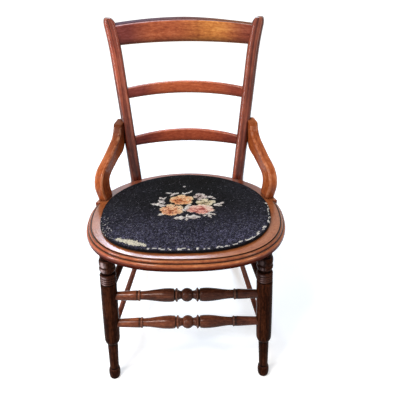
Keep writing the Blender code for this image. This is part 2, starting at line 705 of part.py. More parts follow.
def rail_mesh(name, rail, share, grow):
    # A bowed rail whose ends stand in the posts, at a share of the back's height.
    middle = SEAT_HEIGHT + BACK_HEIGHT * share
    width, depth = post_size(middle)
    post_middle = on_post(1, middle, 0, depth / 2)
    end_x = post_middle.x - width / 2 + RAIL_TENON + grow
    lean = (BACK_LEAN - 2 * BACK_BOW * (middle - SEAT_HEIGHT) / BACK_HEIGHT) / BACK_HEIGHT
    sections = []
    for x in np.linspace(-end_x, end_x, RAIL_STATIONS):
        from_post = (x / post_middle.x) ** 2
        y = post_middle.y + RAIL_BOW * (1 - from_post)
        back = Vector((2 * RAIL_BOW * x / post_middle.x**2, 1, 0)).normalized()
        height = rail["middle"] + (rail["ends"] - rail["middle"]) * from_post
        centre = middle + rail["rise"] * (1 - from_post)
        half = rail["thickness"] / 2 + grow
        outline = rounded_rectangle(-half, half, RAIL_ROUND, RAIL_ROUND, height / 2 + grow, 2)
        section = []
        for up, deep in outline:
            z = centre + up
            section.append(Vector((x, y + lean * (z - middle), z)) + back * deep)
        sections.append(section)
    return loft(name, sections)


def make_rails(posts, wood):
    for (name, rail), share in zip(RAILS.items(), RAIL_SHARES):
        add_part(name, rail_mesh(name, rail, share, 0), wood)
        mortise_mesh = rail_mesh(name + "_mortise", rail, share, GAP)
        mortise = add_cutter(name + "_mortise", mortise_mesh)
        for post in posts.values():
            combine(post, mortise)


# Hip rests


def rest_plane(side):
    # The foot's middle on the seat, the level direction towards the post, and the distance to the post.
    foot_x = seat_edge_x(REST_FOOT_Y) - REST_EDGE_MARGIN - REST_THICKNESS / 2
    foot = Vector((side * foot_x, REST_FOOT_Y, SEAT_HEIGHT + GAP))
    z = SEAT_HEIGHT + REST_JOIN_HEIGHT
    width, depth = post_size(z)
    joined = on_post(side, z, width / 2 + REST_THICKNESS / 2 - REST_LAP, depth / 2)
    reach = Vector((joined.x - foot.x, joined.y - foot.y, 0))
    return foot, reach.normalized(), reach.length


def rest_mesh(name, side):
    foot, toward, reach = rest_plane(side)
    outward = Vector((toward.y, -toward.x, 0))
    sections = []
    edges = zip(smooth_through(REST_FRONT_SHARES, REST_STEPS), smooth_through(REST_REAR_SHARES, REST_STEPS))
    for front, rear in edges:
        rise = REST_RISE - GAP
        ends = [foot + toward * (s * reach) + Vector((0, 0, h * rise)) for s, h in (front, rear)]
        middle = (ends[0] + ends[1]) / 2
        along = (ends[1] - ends[0]) / 2
        half = along.length
        outline = rounded_rectangle(-REST_THICKNESS / 2, REST_THICKNESS / 2, REST_ROUND, REST_ROUND, half, 3)
        sections.append([middle + along * (u / half) + outward * v for u, v in outline])
    return loft(name, sections)


def make_hip_rests(post_seats, wood):
    rests = {}
    for name, side in BOTH_SIDES.items():
        rests[name] = add_part(f"{name}_hip_rest", rest_mesh("rest", side), wood)
        combine(rests[name], post_seats[name])
    return rests


# Pad


def pad_ring(inset, height):
    half_width = SEAT_HALF_WIDTH - PAD_SIDE_MARGIN
    front = SEAT_FRONT_DEPTH - PAD_FRONT_MARGIN
    rear = SEAT_REAR_DEPTH - PAD_REAR_MARGIN
    if inset is None:
        return [(0, 0, SEAT_HEIGHT + height)]
    shape = (half_width - inset, front - inset, rear - inset, PAD_FRONT_POWER, PAD_REAR_POWER)
    return [(x, y, SEAT_HEIGHT + height) for x, y in even_oval(PAD_STATIONS, *shape)]


def crowned(inset, bottom, edge, crown, shoulder, inner_rings=4):
    # (inset, height) points of a crowned top, from its pole out over a rounded shoulder.
    mean = (SEAT_FRONT_DEPTH - PAD_FRONT_MARGIN + SEAT_REAR_DEPTH - PAD_REAR_MARGIN) / 2 - inset
    points = [(None, bottom + crown)]
    for share in np.linspace(0, 1, inner_rings + 1)[1:]:
        reach = share * (mean - shoulder)
        height = bottom + crown - (crown - edge) * (reach / mean) ** 2
        points.append((inset + mean - reach, height))
    start = points[-1]
    return points + arc(start, (inset, start[1] - shoulder), 4, 0)[1:]


def make_pad(wood, cotton, needlework):
    lip_bottom = GAP
    board_bottom = lip_bottom + COVER_THICKNESS + GAP
    stuffing_bottom = board_bottom + BOARD_THICKNESS + GAP
    wall = COVER_THICKNESS + GAP

    outline = [(x, y) for x, y, _ in pad_ring(wall, 0)]
    board_z = SEAT_HEIGHT + board_bottom
    board = add_part("seat_board", prism("seat_board", outline, board_z, board_z + BOARD_THICKNESS), wood)

    inside = crowned(wall, stuffing_bottom, STUFFING_EDGE, STUFFING_CROWN, STUFFING_SHOULDER)
    rings = [pad_ring(*point) for point in [*inside, (wall, stuffing_bottom), (None, stuffing_bottom)]]
    add_part("pad_stuffing", loft("pad_stuffing", rings), cotton)

    outer_shoulder, inner_shoulder = STUFFING_SHOULDER + wall, STUFFING_SHOULDER + GAP
    outside = crowned(0, stuffing_bottom + wall, STUFFING_EDGE, STUFFING_CROWN, outer_shoulder)
    lining = crowned(COVER_THICKNESS, stuffing_bottom + GAP, STUFFING_EDGE, STUFFING_CROWN, inner_shoulder)
    lip_top = lip_bottom + COVER_THICKNESS
    turned_under = [(COVER_THICKNESS / 2, lip_bottom), (COVER_LIP, lip_bottom), (COVER_LIP, lip_top)]
    turned_under += [(COVER_THICKNESS, lip_top)]
    rings = [pad_ring(*point) for point in [*outside, *turned_under, *reversed(lining)]]
    cover = add_part("needlepoint_cover", loft("needlepoint_cover", rings), needlework)
    return board, cover


# Screws


def screw_profile(length, grow=0.0, above=0.0):
    # The head's top is at height zero and the point hangs below it.
    head, shank = SCREW_HEAD_RADIUS + grow, SCREW_SHANK_RADIUS + grow
    points = [(0, above), (head, above)] if above else [(0, 0)]
    points += [(head, 0), (shank, -SCREW_HEAD_HEIGHT), (shank, SCREW_TIP - length - grow)]
    return [*points, (0, -length - grow)]


def add_screw(name, surface, direction, length, steel, holders):
    # Drives a countersunk screw through a surface point, along a direction, into the pieces that it holds.
    direction = Vector(direction).normalized()
    head = Vector(surface) + direction * SCREW_SINK
    screw = add_part(name, profile_mesh(name, screw_profile(length)), steel)
    turned(stand_along(screw, head, head - direction), SCREW_SIDES)
    hole_mesh = profile_mesh(name + "_hole", screw_profile(length, GAP, CUT_MARGIN))
    hole = turned(stand_along(add_cutter(name + "_hole", hole_mesh), head, head - direction), SCREW_SIDES)
    for holder in holders:
        combine(holder, hole)


def make_screws(rails, posts, rests, board, cover, steel):
    rear_rail = rails["rear_seat_rail"]
    for name, side in BOTH_SIDES.items():
        z = SEAT_HEIGHT - SEAT_THICKNESS / 2
        depth = post_size(z)[1]
        behind, front = on_post(side, z, 0, depth), on_post(side, z, 0, 0)
        length = depth + POST_SCREW_BITE
        add_screw(f"{name}_post_screw", behind, front - behind, length, steel, [posts[name], rear_rail])

        foot, toward, reach = rest_plane(side)
        inward = Vector((-toward.y, toward.x, 0)) * side
        end_middle = (REST_FRONT_SHARES[-1][0] + REST_REAR_SHARES[-1][0]) / 2
        join = foot + toward * (reach * end_middle)
        join.z = SEAT_HEIGHT + REST_SCREW_HEIGHT
        outer = join - inward * (REST_THICKNESS / 2)
        length = REST_THICKNESS + REST_SCREW_BITE
        add_screw(f"{name}_rest_top_screw", outer, inward, length, steel, [rests[name], posts[name]])

        below = Vector((foot.x, foot.y, SEAT_UNDERSIDE))
        length = SEAT_THICKNESS + REST_FOOT_SCREW_BITE
        add_screw(f"{name}_rest_foot_screw", below, (0, 0, 1), length, steel, [rear_rail, rests[name]])

        length = SEAT_THICKNESS + 2 * GAP + COVER_THICKNESS + BOARD_SCREW_BITE
        for place, toward in (("front", -1), ("rear", 1)):
            edge = Vector((side * BOARD_SCREW_X, seat_edge_y(BOARD_SCREW_X, toward)))
            spot = edge - seat_normal(*edge) * (RIM_WIDTH - BOARD_SCREW_EDGE)
            surface = (spot.x, spot.y, SEAT_UNDERSIDE)
            holders = [rails[f"{place}_seat_rail"], board, cover]
            add_screw(f"{place}_{name}_board_screw", surface, (0, 0, 1), length, steel, holders)


clear_scene()
PARTS = new_collection("hip_rest_chair")
CUTTERS = new_collection("cutters")

# The chair's origin is on the floor, under the middle of its length from seat front to rear feet.
CHAIR = bpy.data.objects.new("chair", None)
PARTS.objects.link(CHAIR)
REAR_REACH = max(point.y for point in post_section(1, 0, 0))
CHAIR.location.y = (SEAT_FRONT_DEPTH - REAR_REACH) / 2

warm_wood = new_material("warm_wood", (0.30, 0.095, 0.028), 0.28)
red_wood = new_material("red_wood", (0.17, 0.045, 0.022), 0.30)
dark_wood = new_material("dark_wood", (0.055, 0.020, 0.011), 0.32)
inner_wood = new_material("inner_wood", (0.45, 0.30, 0.17), 0.60)
cotton_wadding = new_material("cotton_wadding", (0.75, 0.72, 0.64), 0.95)
needlepoint = new_material("needlepoint", (0.012, 0.012, 0.016), 0.90)
steel_screw = new_material("steel_screw", (0.30, 0.28, 0.26), 0.45, 1.0)

seat_rails = make_seat_frame(warm_wood)
make_joint_tenons(seat_rails, inner_wood)
front_legs = make_front_legs(seat_rails, dark_wood)
make_front_stretchers(front_legs, dark_wood)
back_posts, post_cutters = make_posts(seat_rails, red_wood)
make_plain_stretchers(front_legs, back_posts, dark_wood)
make_rails(back_posts, warm_wood)
hip_rests = make_hip_rests(post_cutters, warm_wood)
seat_board, pad_cover = make_pad(inner_wood, cotton_wadding, needlepoint)
make_screws(seat_rails, back_posts, hip_rests, seat_board, pad_cover, steel_screw)
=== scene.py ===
import math

import bmesh
import bpy
import numpy as np
from mathutils import Matrix, Vector
from mathutils.bvhtree import BVHTree


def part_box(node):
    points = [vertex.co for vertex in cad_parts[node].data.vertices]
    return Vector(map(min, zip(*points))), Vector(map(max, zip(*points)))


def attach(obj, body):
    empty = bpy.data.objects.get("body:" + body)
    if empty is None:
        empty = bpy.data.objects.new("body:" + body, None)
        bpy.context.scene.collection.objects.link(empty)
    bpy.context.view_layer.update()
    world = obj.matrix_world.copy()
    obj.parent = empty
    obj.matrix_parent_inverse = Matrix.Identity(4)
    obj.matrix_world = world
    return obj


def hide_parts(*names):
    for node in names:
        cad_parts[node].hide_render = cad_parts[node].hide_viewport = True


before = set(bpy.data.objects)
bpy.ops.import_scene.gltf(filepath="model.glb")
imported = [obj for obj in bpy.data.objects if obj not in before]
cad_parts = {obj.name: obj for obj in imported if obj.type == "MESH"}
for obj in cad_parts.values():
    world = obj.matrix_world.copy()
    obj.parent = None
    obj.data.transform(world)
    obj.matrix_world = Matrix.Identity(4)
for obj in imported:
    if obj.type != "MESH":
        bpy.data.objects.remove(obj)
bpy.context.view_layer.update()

scene = bpy.context.scene
rng = np.random.default_rng(11)
bothSides = {"left": -1, "right": 1}
print("frame loaded:", len(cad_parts), "nodes")


# small tools for node trees; a socket knows the tree it belongs to

def addNode(tree, kind, inputs=None, **settings):
    node = tree.nodes.new(kind)
    for key, value in settings.items():
        setattr(node, key, value)
    for key, value in (inputs or {}).items():
        if isinstance(value, bpy.types.NodeSocket):
            tree.links.new(value, node.inputs[key])
        else:
            node.inputs[key].default_value = value
    return node


def calc(operation, first, second):
    return addNode(first.id_data, "ShaderNodeMath", {0: first, 1: second}, operation=operation).outputs[0]


def plus(first, second):
    return calc("ADD", first, second)


def times(first, second):
    return calc("MULTIPLY", first, second)


def spread(value, low, high, toLow=0.0, toHigh=1.0):
    inputs = {"Value": value, "From Min": low, "From Max": high, "To Min": toLow, "To Max": toHigh}
    return addNode(value.id_data, "ShaderNodeMapRange", inputs).outputs["Result"]


def blend(share, first, second, how="MIX"):
    tree = next(value.id_data for value in (share, first) if isinstance(value, bpy.types.NodeSocket))
    node = addNode(tree, "ShaderNodeMix", {0: share, 6: first, 7: second}, data_type="RGBA", blend_type=how)
    return node.outputs[2]


def noise(vector, scale=1.0, detail=2.0, roughness=0.5, distortion=0.0):
    inputs = {"Vector": vector, "Scale": scale, "Detail": detail, "Roughness": roughness,
              "Distortion": distortion}
    return addNode(vector.id_data, "ShaderNodeTexNoise", inputs).outputs["Fac"]


def stretched(vector, *factors):
    inputs = {0: vector, 1: factors}
    return addNode(vector.id_data, "ShaderNodeVectorMath", inputs, operation="MULTIPLY").outputs[0]


def bumped(height, strength, distance):
    inputs = {"Strength": strength, "Distance": distance, "Height": height}
    return addNode(height.id_data, "ShaderNodeBump", inputs).outputs["Normal"]


def colourRamp(value, *colours):
    # evenly spaced colours from 0 to 1
    ramp = addNode(value.id_data, "ShaderNodeValToRGB", {"Fac": value})
    stops = ramp.color_ramp.elements
    stops[0].color, stops[1].color = solid(colours[0]), solid(colours[-1])
    for number, colour in enumerate(colours[1:-1], 1):
        stops.new(number / (len(colours) - 1)).color = solid(colour)
    return ramp.outputs["Color"]


def attribute(tree, name, output):
    return addNode(tree, "ShaderNodeAttribute", attribute_name=name).outputs[output]


def objectPlace(tree):
    return addNode(tree, "ShaderNodeTexCoord").outputs["Object"]


def seenDirectly(tree):
    # 1 for the camera and for mirror images, 0 for light on its way to matte surfaces
    path = addNode(tree, "ShaderNodeLightPath").outputs
    seen = calc("MAXIMUM", path["Is Camera Ray"], path["Is Glossy Ray"])
    return calc("MAXIMUM", seen, path["Is Transmission Ray"])


def newMaterial(name):
    material = bpy.data.materials.new(name)
    material.use_nodes = True
    material.node_tree.nodes.clear()
    return material, material.node_tree


def finishMaterial(tree, inputs, kind="ShaderNodeBsdfPrincipled"):
    shader = addNode(tree, kind, inputs)
    addNode(tree, "ShaderNodeOutputMaterial", {"Surface": shader.outputs[0]})


def paint(red, green, blue):
    # a screen colour, 0 to 255, as light
    screen = np.array((red, green, blue)) / 255
    return np.where(screen > 0.04045, ((screen + 0.055) / 1.055) ** 2.4, screen / 12.92)


def solid(colour):
    return (*(float(part) for part in colour), 1.0)


# varnished wood: figure, flecks, streaks and pores along the grain, rubbed edges, and dirt with painted shade
# in the hollows
sharedFinish = {
    "wear": 0.30, "grimeAndShade": 0.85, "coat": 0.0, "coatRough": 0.08, "specular": 0.12,
    "figure": 1.0, "fleck": 0.32, "contrast": (0.38, 0.62),
}
warmFinish = {
    **sharedFinish, "dark": (0.160, 0.026, 0.009), "mid": (0.330, 0.074, 0.025),
    "light": (0.480, 0.140, 0.052), "worn": (0.620, 0.270, 0.130), "rough": (0.18, 0.30), "coat": 0.04,
}
legFinish = {
    **sharedFinish, "dark": (0.006, 0.0015, 0.0006), "mid": (0.022, 0.0056, 0.0022),
    "light": (0.060, 0.017, 0.0066), "worn": (0.170, 0.080, 0.066), "wear": 0.16, "rough": (0.12, 0.20),
    "specular": 0.012, "figure": 2.0, "contrast": (0.40, 0.60),
}
rodFinish = {
    **sharedFinish, "dark": (0.030, 0.008, 0.005), "mid": (0.086, 0.025, 0.013),
    "light": (0.185, 0.060, 0.030), "worn": (0.320, 0.200, 0.150), "wear": 0.12, "rough": (0.09, 0.18),
    "figure": 1.6,
}
# material name and finish, under the word that woodPiece takes
finishes = {
    "warm": ("warmVarnish", warmFinish),
    "flat": ("rimFlatVarnish", {
        **sharedFinish, "dark": (0.170, 0.042, 0.012), "mid": (0.310, 0.094, 0.030),
        "light": (0.430, 0.160, 0.058), "worn": (0.560, 0.280, 0.130), "wear": 0.35, "grimeAndShade": 0.90,
        "rough": (0.24, 0.38), "coat": 0.90, "coatRough": 0.20, "specular": 0.10, "contrast": (0.36, 0.64),
    }),
    "moulding": ("rimMouldingVarnish", {
        **sharedFinish, "dark": (0.120, 0.021, 0.006), "mid": (0.255, 0.058, 0.015),
        "light": (0.400, 0.120, 0.034), "worn": (0.560, 0.250, 0.110), "grimeAndShade": 0.72, "rough": (0.14, 0.24),
        "coat": 0.35, "coatRough": 0.10, "specular": 0.10,
    }),
    "dull": ("dullEndGrain", {
        **warmFinish, "wear": 0.10, "rough": (0.5, 0.6), "coat": 0.0, "specular": 0.02,
    }),
    # the hip rests' pale edges are real wear and painted highlights along the arrises
    "rest": ("hipRestWearAndHighlight", {**warmFinish, "worn": (0.84, 0.42, 0.24), "wear": 0.80}),
    "red": ("redVarnish", {
        **sharedFinish, "dark": (0.045, 0.007, 0.005), "mid": (0.180, 0.036, 0.020),
        "light": (0.360, 0.090, 0.046), "worn": (0.560, 0.250, 0.150), "rough": (0.12, 0.22), "coat": 0.30,
        "coatRough": 0.05, "figure": 2.4, "fleck": 0.12, "contrast": (0.40, 0.60),
    }),
    "leg": ("darkLegVarnish", legFinish),
    "ring": ("darkRingVarnish", {**legFinish, "specular": 0.18}),
    "rod": ("stretcherVarnish", rodFinish),
    "plainRod": ("plainRodVarnish", {**rodFinish, "rough": (0.18, 0.28), "specular": 0.03}),
}
# what all varnished wood shares; stretches are across, deep and along the grain, shares add up to 1
varnish = {
    "figure": (40, 40, 4.0), "fleck": (240, 240, 90), "streak": (420, 420, 9), "pores": (1300, 1300, 45),
    "blotch": 15, "wearAndHighlight": 70, "streakShare": 0.18, "figureAndFleck": 0.62, "blotchShare": 0.20,
    "poreFrom": (0.60, 0.72), "poreShare": 0.45, "poreShade": 0.45, "rubFrom": (0.14, 0.46), "rubBreak": 0.5,
    "hollowReach": 0.010, "hollowFrom": (-0.04, -0.40), "shutFrom": (0.80, 0.36),
    "dirtAndShadeFrom": (0.30, 0.60, 0.65, 1.0), "dirtAndShadeDark": 0.10, "dirtAndShadeRough": 0.3, "roughFrom": (0.32, 0.68),
    "streakRelief": 0.35, "rubRelief": 0.25, "bump": (0.12, 0.0004),
}


def varnishedWood(name, finish):
    material, tree = newMaterial(name)
    grain, toneAndPaintedLight = attribute(tree, "grain", "Vector"), attribute(tree, "toneAndPaintedLight", "Vector")
    edge = attribute(tree, "edge", "Fac")
    across, deep, along = varnish["figure"]
    wide = finish["figure"]
    figure = stretched(grain, across * wide, deep * wide, along)
    figure = noise(figure, detail=4, roughness=0.6, distortion=0.6)
    fleck = noise(stretched(grain, *varnish["fleck"]), detail=3, roughness=0.65)
    streak = noise(stretched(grain, *varnish["streak"]), detail=3, roughness=0.6)
    pores = noise(stretched(grain, *varnish["pores"]), detail=1)
    blotch = noise(grain, scale=varnish["blotch"], detail=4, roughness=0.6)
    wearAndHighlight = noise(grain, scale=varnish["wearAndHighlight"], detail=3, roughness=0.65)

    mixed = times(streak, varnish["streakShare"])
    figureShare = varnish["figureAndFleck"] - finish["fleck"]
    for part, share in ((figure, figureShare), (fleck, finish["fleck"]), (blotch, varnish["blotchShare"])):
        mixed = plus(mixed, times(part, share))
    colour = colourRamp(spread(mixed, *finish["contrast"]), finish["dark"], finish["mid"], finish["light"])
    # the tone multiplies in both the wood's colour and its painted light and shade
    colour = blend(1.0, colour, toneAndPaintedLight, "MULTIPLY")

    dark = np.array(finish["dark"])
    poreDark = spread(pores, *varnish["poreFrom"], 0.0, varnish["poreShare"])
    colour = blend(poreDark, colour, solid(dark * varnish["poreShade"]))

    bare = plus(edge, times(calc("SUBTRACT", wearAndHighlight, 0.5), varnish["rubBreak"]))
    bare = spread(bare, *varnish["rubFrom"], 0.0, finish["wear"])
    colour = blend(bare, colour, solid(finish["worn"]))

    # dirt and painted shade: hollows, joints and contacts darkened by ambient occlusion
    shut = addNode(tree, "ShaderNodeAmbientOcclusion", {"Distance": varnish["hollowReach"]}, samples=6)
    shut = spread(shut.outputs["AO"], *varnish["shutFrom"])
    hollow = calc("MAXIMUM", spread(edge, *varnish["hollowFrom"]), shut)
    dirtAndShade = times(times(hollow, spread(wearAndHighlight, *varnish["dirtAndShadeFrom"])), finish["grimeAndShade"])
    colour = blend(dirtAndShade, colour, solid(dark * varnish["dirtAndShadeDark"]))

    rough = spread(blotch, *varnish["roughFrom"], *finish["rough"])
    relief = calc("SUBTRACT", times(streak, varnish["streakRelief"]), poreDark)
    relief = plus(relief, times(wearAndHighlight, varnish["rubRelief"]))
    finishMaterial(tree, {
        "Base Color": colour, "Roughness": plus(rough, times(dirtAndShade, varnish["dirtAndShadeRough"])),
        "Normal": bumped(relief, *varnish["bump"]), "Specular IOR Level": finish["specular"],
        "Coat Weight": finish["coat"], "Coat Roughness": finish["coatRough"],
    })
    return material


# unvarnished board and tenons, on object coordinates because these are CAD nodes
bareFinish = {
    "dark": (0.20, 0.115, 0.055), "light": (0.46, 0.31, 0.18), "rough": 0.62, "specular": 0.25,
    "figure": (3, 40, 40), "streak": (9, 420, 420), "stain": 9, "contrast": (0.33, 0.68),
    "stainFrom": (0.45, 0.75, 0.0, 0.6), "bump": (0.3, 0.0006),
}


def bareWood(name, finish):
    material, tree = newMaterial(name)
    place = objectPlace(tree)
    figure = noise(stretched(place, *finish["figure"]), detail=4, roughness=0.6, distortion=0.8)
    streak = noise(stretched(place, *finish["streak"]), detail=3)
    stain = noise(place, scale=finish["stain"], detail=4)
    mixed = plus(times(figure, 0.6), times(streak, 0.4))
    colour = colourRamp(spread(mixed, *finish["contrast"]), finish["dark"], finish["light"])
    colour = blend(spread(stain, *finish["stainFrom"]), colour, solid(finish["dark"]))
    finishMaterial(tree, {
        "Base Color": colour, "Roughness": finish["rough"], "Normal": bumped(streak, *finish["bump"]),
        "Specular IOR Level": finish["specular"],
    })
    return material


woodOf = {key: varnishedWood(name, finish) for key, (name, finish) in finishes.items()}
bareBoard = bareWood("bareInnerWood", bareFinish)
print("wood finishes made:", len(woodOf) + 1)


# mesh tools

def newPiece(name, data):
    piece = bpy.data.objects.new(name, data)
    scene.collection.objects.link(piece)
    return piece


def newMesh(name, points, faces):
    # points are given round the middle of the seat
    mesh = bpy.data.meshes.new(name)
    mesh.from_pydata((np.asarray(points) + (0, seatY, 0)).tolist(), [], faces)
    return mesh


def faceOutward(mesh, close=False):
    bm = bmesh.new()
    bm.from_mesh(mesh)
    if close:
        bmesh.ops.holes_fill(bm, edges=[edge for edge in bm.edges if edge.is_boundary], sides=0)
    bmesh.ops.recalc_face_normals(bm, faces=bm.faces)
    bm.to_mesh(mesh)
    bm.free()


def appliedMesh(piece):
    # a plain mesh of the piece with its modifiers applied
    graph = bpy.context.evaluated_depsgraph_get()
    return bpy.data.meshes.new_from_object(piece.evaluated_get(graph))


def readAll(items, field, width=3, kind=float):
    values = np.empty(len(items) * width, kind)
    items.foreach_get(field, values)
    return values.reshape(-1, width)


def storeAttribute(mesh, name, kind, values):
    field = {"FLOAT": "value", "FLOAT_VECTOR": "vector", "FLOAT_COLOR": "color"}[kind]
    layer = mesh.attributes.new(name, kind, "POINT")
    layer.data.foreach_set(field, np.ascontiguousarray(values, np.float32).ravel())


def edgeBend(mesh):
    # how sharply the surface turns at each point: plus on rounded edges, minus in hollows
    sharpest = 400  # turn in a metre that counts in full
    place, normal = readAll(mesh.vertices, "co"), readAll(mesh.vertex_normals, "vector")
    first, second = readAll(mesh.edges, "vertices", 2, int).T
    along = place[second] - place[first]
    squared = np.maximum((along**2).sum(1), 1e-10)
    bend, seen = np.zeros(len(place)), np.zeros(len(place))
    for here, sign in ((first, 1), (second, -1)):
        np.add.at(bend, here, -2 * sign * (normal[here] * along).sum(1) / squared)
        np.add.at(seen, here, 1)
    return np.clip(bend / np.maximum(seen, 1) / sharpest, -1, 1)


def joinRoot(piece, replaced=()):
    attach(piece, "root")
    if replaced:
        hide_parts(*replaced)


def woodPiece(name, sections, grain, wood, node, toneAndPaintedLight, sharp=42, plank=None, others=(), finishOf=None):
    # sections is rows of points round the piece, closed at both ends; pieces with the same plank share one
    # figure; others are more finishes, and finishOf numbers the faces by row and column, ends being rows -1
    # and last
    sections = np.asarray(sections, float)
    rows, columns = sections.shape[:2]
    index = np.arange(rows * columns).reshape(rows, columns)
    low, high = index[:-1], index[1:]
    quads = np.stack([low, np.roll(low, -1, 1), np.roll(high, -1, 1), high], -1).reshape(-1, 4)
    points = sections.reshape(-1, 3)
    mesh = newMesh(name, points, quads.tolist() + [index[0][::-1].tolist(), index[-1].tolist()])
    faceOutward(mesh)
    mesh.shade_smooth()
    mesh.set_sharp_from_angle(angle=math.radians(sharp))
    plank = rng.uniform(-4, 4, 3) if plank is None else np.array(plank)
    storeAttribute(mesh, "grain", "FLOAT_VECTOR", np.reshape(grain, (-1, 3)) + plank)
    storeAttribute(mesh, "toneAndPaintedLight", "FLOAT_VECTOR", np.broadcast_to(toneAndPaintedLight(points), points.shape))
    bend = edgeBend(mesh).reshape(rows, columns)
    bend[0], bend[-1] = bend[1], bend[-2]  # the ends are joints, which do not get rubbed
    storeAttribute(mesh, "edge", "FLOAT", bend)
    for finish in (wood, *others):
        mesh.materials.append(woodOf[finish])
    if finishOf:
        number = np.arange(len(quads))
        rowOf = np.append(number // columns, (-1, rows))
        columnOf = np.append(number % columns, (columns, columns))
        mesh.polygons.foreach_set("material_index", finishOf(rowOf, columnOf).astype(np.int32))
    joinRoot(newPiece(name, mesh), [node])


def mix(start, end, share):
    return start + (end - start) * share


def clipped(value):
    return np.clip(value, 0, 1)


def shadeRound(points, columns, table):
    # a shade for each place round the section, the same on every row
    return np.tile(np.interp(np.arange(columns), *table), len(points) // columns)[:, None]


def quarterArc(start, end, count, bulgeFirst):
    # quarter ellipse between two points; bulgeFirst says which coordinate moves first
    angle = np.linspace(0, math.pi / 2, count)
    early, late = np.sin(angle), 1 - np.cos(angle)
    first, second = (early, late) if bulgeFirst == 0 else (late, early)
    return list(zip(mix(start[0], end[0], first), mix(start[1], end[1], second)))


def taper(start, end, shares, swell=0.0):
    # a straight run between two (radius, height) points, fuller by swell in the middle
    radii = mix(start[0], end[0], shares) + swell * np.sin(math.pi * shares)
    return list(zip(radii, mix(start[1], end[1], shares)))


def ringBead(top, bottom, root, crest, count):
    angle = np.linspace(0, math.pi, count)
    height = (top + bottom) / 2 + (top - bottom) / 2 * np.cos(angle)
    return list(zip(mix(root, crest, np.sin(angle)), height))


def roundedOutline(low, high, lowRound, highRound, halfWidth, steps):
    # (across, deep) points round a rectangle, with a few points on each flat
    flats = (0.06, 0.3, 0.7, 0.94)
    corners = (
        (halfWidth - lowRound, low + lowRound, lowRound, -90),
        (halfWidth - highRound, high - highRound, highRound, 0),
        (highRound - halfWidth, high - highRound, highRound, 90),
        (lowRound - halfWidth, low + lowRound, lowRound, 180),
    )
    turns = []
    for across, deep, radius, first in corners:
        angle = np.radians(np.linspace(first, first + 90, steps))
        turns.append(np.stack([across + radius * np.cos(angle), deep + radius * np.sin(angle)], -1))
    points = []
    for here, after in zip(turns, turns[1:] + turns[:1]):
        points.extend(here)
        points.extend(mix(here[-1], after[0], share) for share in flats)
    return np.array(points)


def smoothThrough(points, steps):
    known = [np.array(point, float) for point in points]
    known = [2 * known[0] - known[1], *known, 2 * known[-1] - known[-2]]
    curve = []
    for i in range(1, len(known) - 2):
        before, start, end, after = known[i - 1:i + 3]
        for t in np.linspace(0, 1, steps, endpoint=False):
            bend = (2 * before - 5 * start + 4 * end - after) * t**2
            twist = (3 * (start - end) + after - before) * t**3
            curve.append(start + ((end - before) * t + bend + twist) / 2)
    return np.array([*curve, known[-2]])


def turnedSections(profile, base, tip, sides=64):
    # spins (radius, height) points round the line from base to tip
    base, tip = Vector(base), Vector(tip)
    turn = np.array((tip - base).to_track_quat("Z", "Y").to_matrix())
    angle = np.linspace(0, math.tau, sides, endpoint=False)
    radius, height = np.array(profile).T[:, :, None]
    local = np.stack(np.broadcast_arrays(radius * np.cos(angle), radius * np.sin(angle), height), -1)
    return local @ turn.T + np.array(base), local


# seat frame: four rails swept round the oval, moulded in front and at the sides, plain behind
seat = {
    "height": 0.4248, "thickness": 0.0280, "halfWidth": 0.2463, "front": 0.2035, "rear": 0.210,
    "frontPower": 2.5, "rearPower": 2.0, "rim": 0.062, "frontSeam": -0.080, "rearSeam": 0.050,
    "joint": 0.00018, "moulding": 0.0145, "quirk": 0.0014, "groove": 0.0016, "grooveWidth": 0.0030,
    "arris": 0.0005, "arrisLead": 0.0016, "flatEnd": 0.004, "ovoloWidth": 0.0078, "ovoloDrop": 0.0056,
    "filletDrop": 0.0012, "filletWidth": 0.0012, "filletGroove": 0.0009, "beadDrop": 0.0075, "tuck": 0.006,
    "tuckEnd": 0.002, "rearRound": 0.003, "plank": (1.7, -2.3, 0.4),
    "flatColumns": 9,  # the top's columns come first in both profiles
    # painted highlight and shade by place round the profile, and the first column that faces down
    "mouldedShades": (
        (0, 9, 12, 13, 15, 16, 18, 20, 21, 23, 25, 27, 28, 29, 30, 32, 33, 34, 35, 36, 37, 38, 40, 46),
        (1, 1, 0.5, 0.16, 0.16, 0.3, 0.9, 1.7, 1.7, 1.0, 0.4, 0.16, 0.16, 0.3, 0.8, 1.9, 2.0, 1.6, 1.1, 0.7,
         0.45, 0.3, 0.12, 0.06),
    ),
    "mouldedUnder": 37,
    # painted shade, darker down the plain rear rail
    "plainShades": ((0, 9, 14, 20, 29), (1, 1, 0.8, 0.45, 0.2)),
    "plainUnder": 16,
}
underside = seat["height"] - seat["thickness"]
# shapes are drawn round the middle of the seat, then moved by this
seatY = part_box("front_seat_rail")[0].y + seat["front"]


def ovalPoint(angle, halfWidth, front, rear, frontPower, rearPower):
    across, along = np.cos(angle), np.sin(angle)
    depth = np.where(along > 0, rear, front)
    power = np.where(along > 0, rearPower, frontPower)
    x = np.sign(across) * np.abs(across) ** (2 / power) * halfWidth
    return np.stack([x, np.sign(along) * np.abs(along) ** (2 / power) * depth], -1)


def seatShape(y):
    return (seat["rear"], seat["rearPower"]) if y > 0 else (seat["front"], seat["frontPower"])


def seatEdgeX(y):
    depth, power = seatShape(y)
    return seat["halfWidth"] * (1 - abs(y / depth) ** power) ** (1 / power)


def seatEdgeY(x, toward):
    depth, power = seatShape(toward)
    return math.copysign(depth * (1 - abs(x / seat["halfWidth"]) ** power) ** (1 / power), toward)


def seatNormal(x, y):
    depth, power = seatShape(y)
    across = math.copysign(abs(x) ** (power - 1) / seat["halfWidth"] ** power, x)
    along = math.copysign(abs(y) ** (power - 1) / depth**power, y)
    return np.array((across, along)) / math.hypot(across, along)


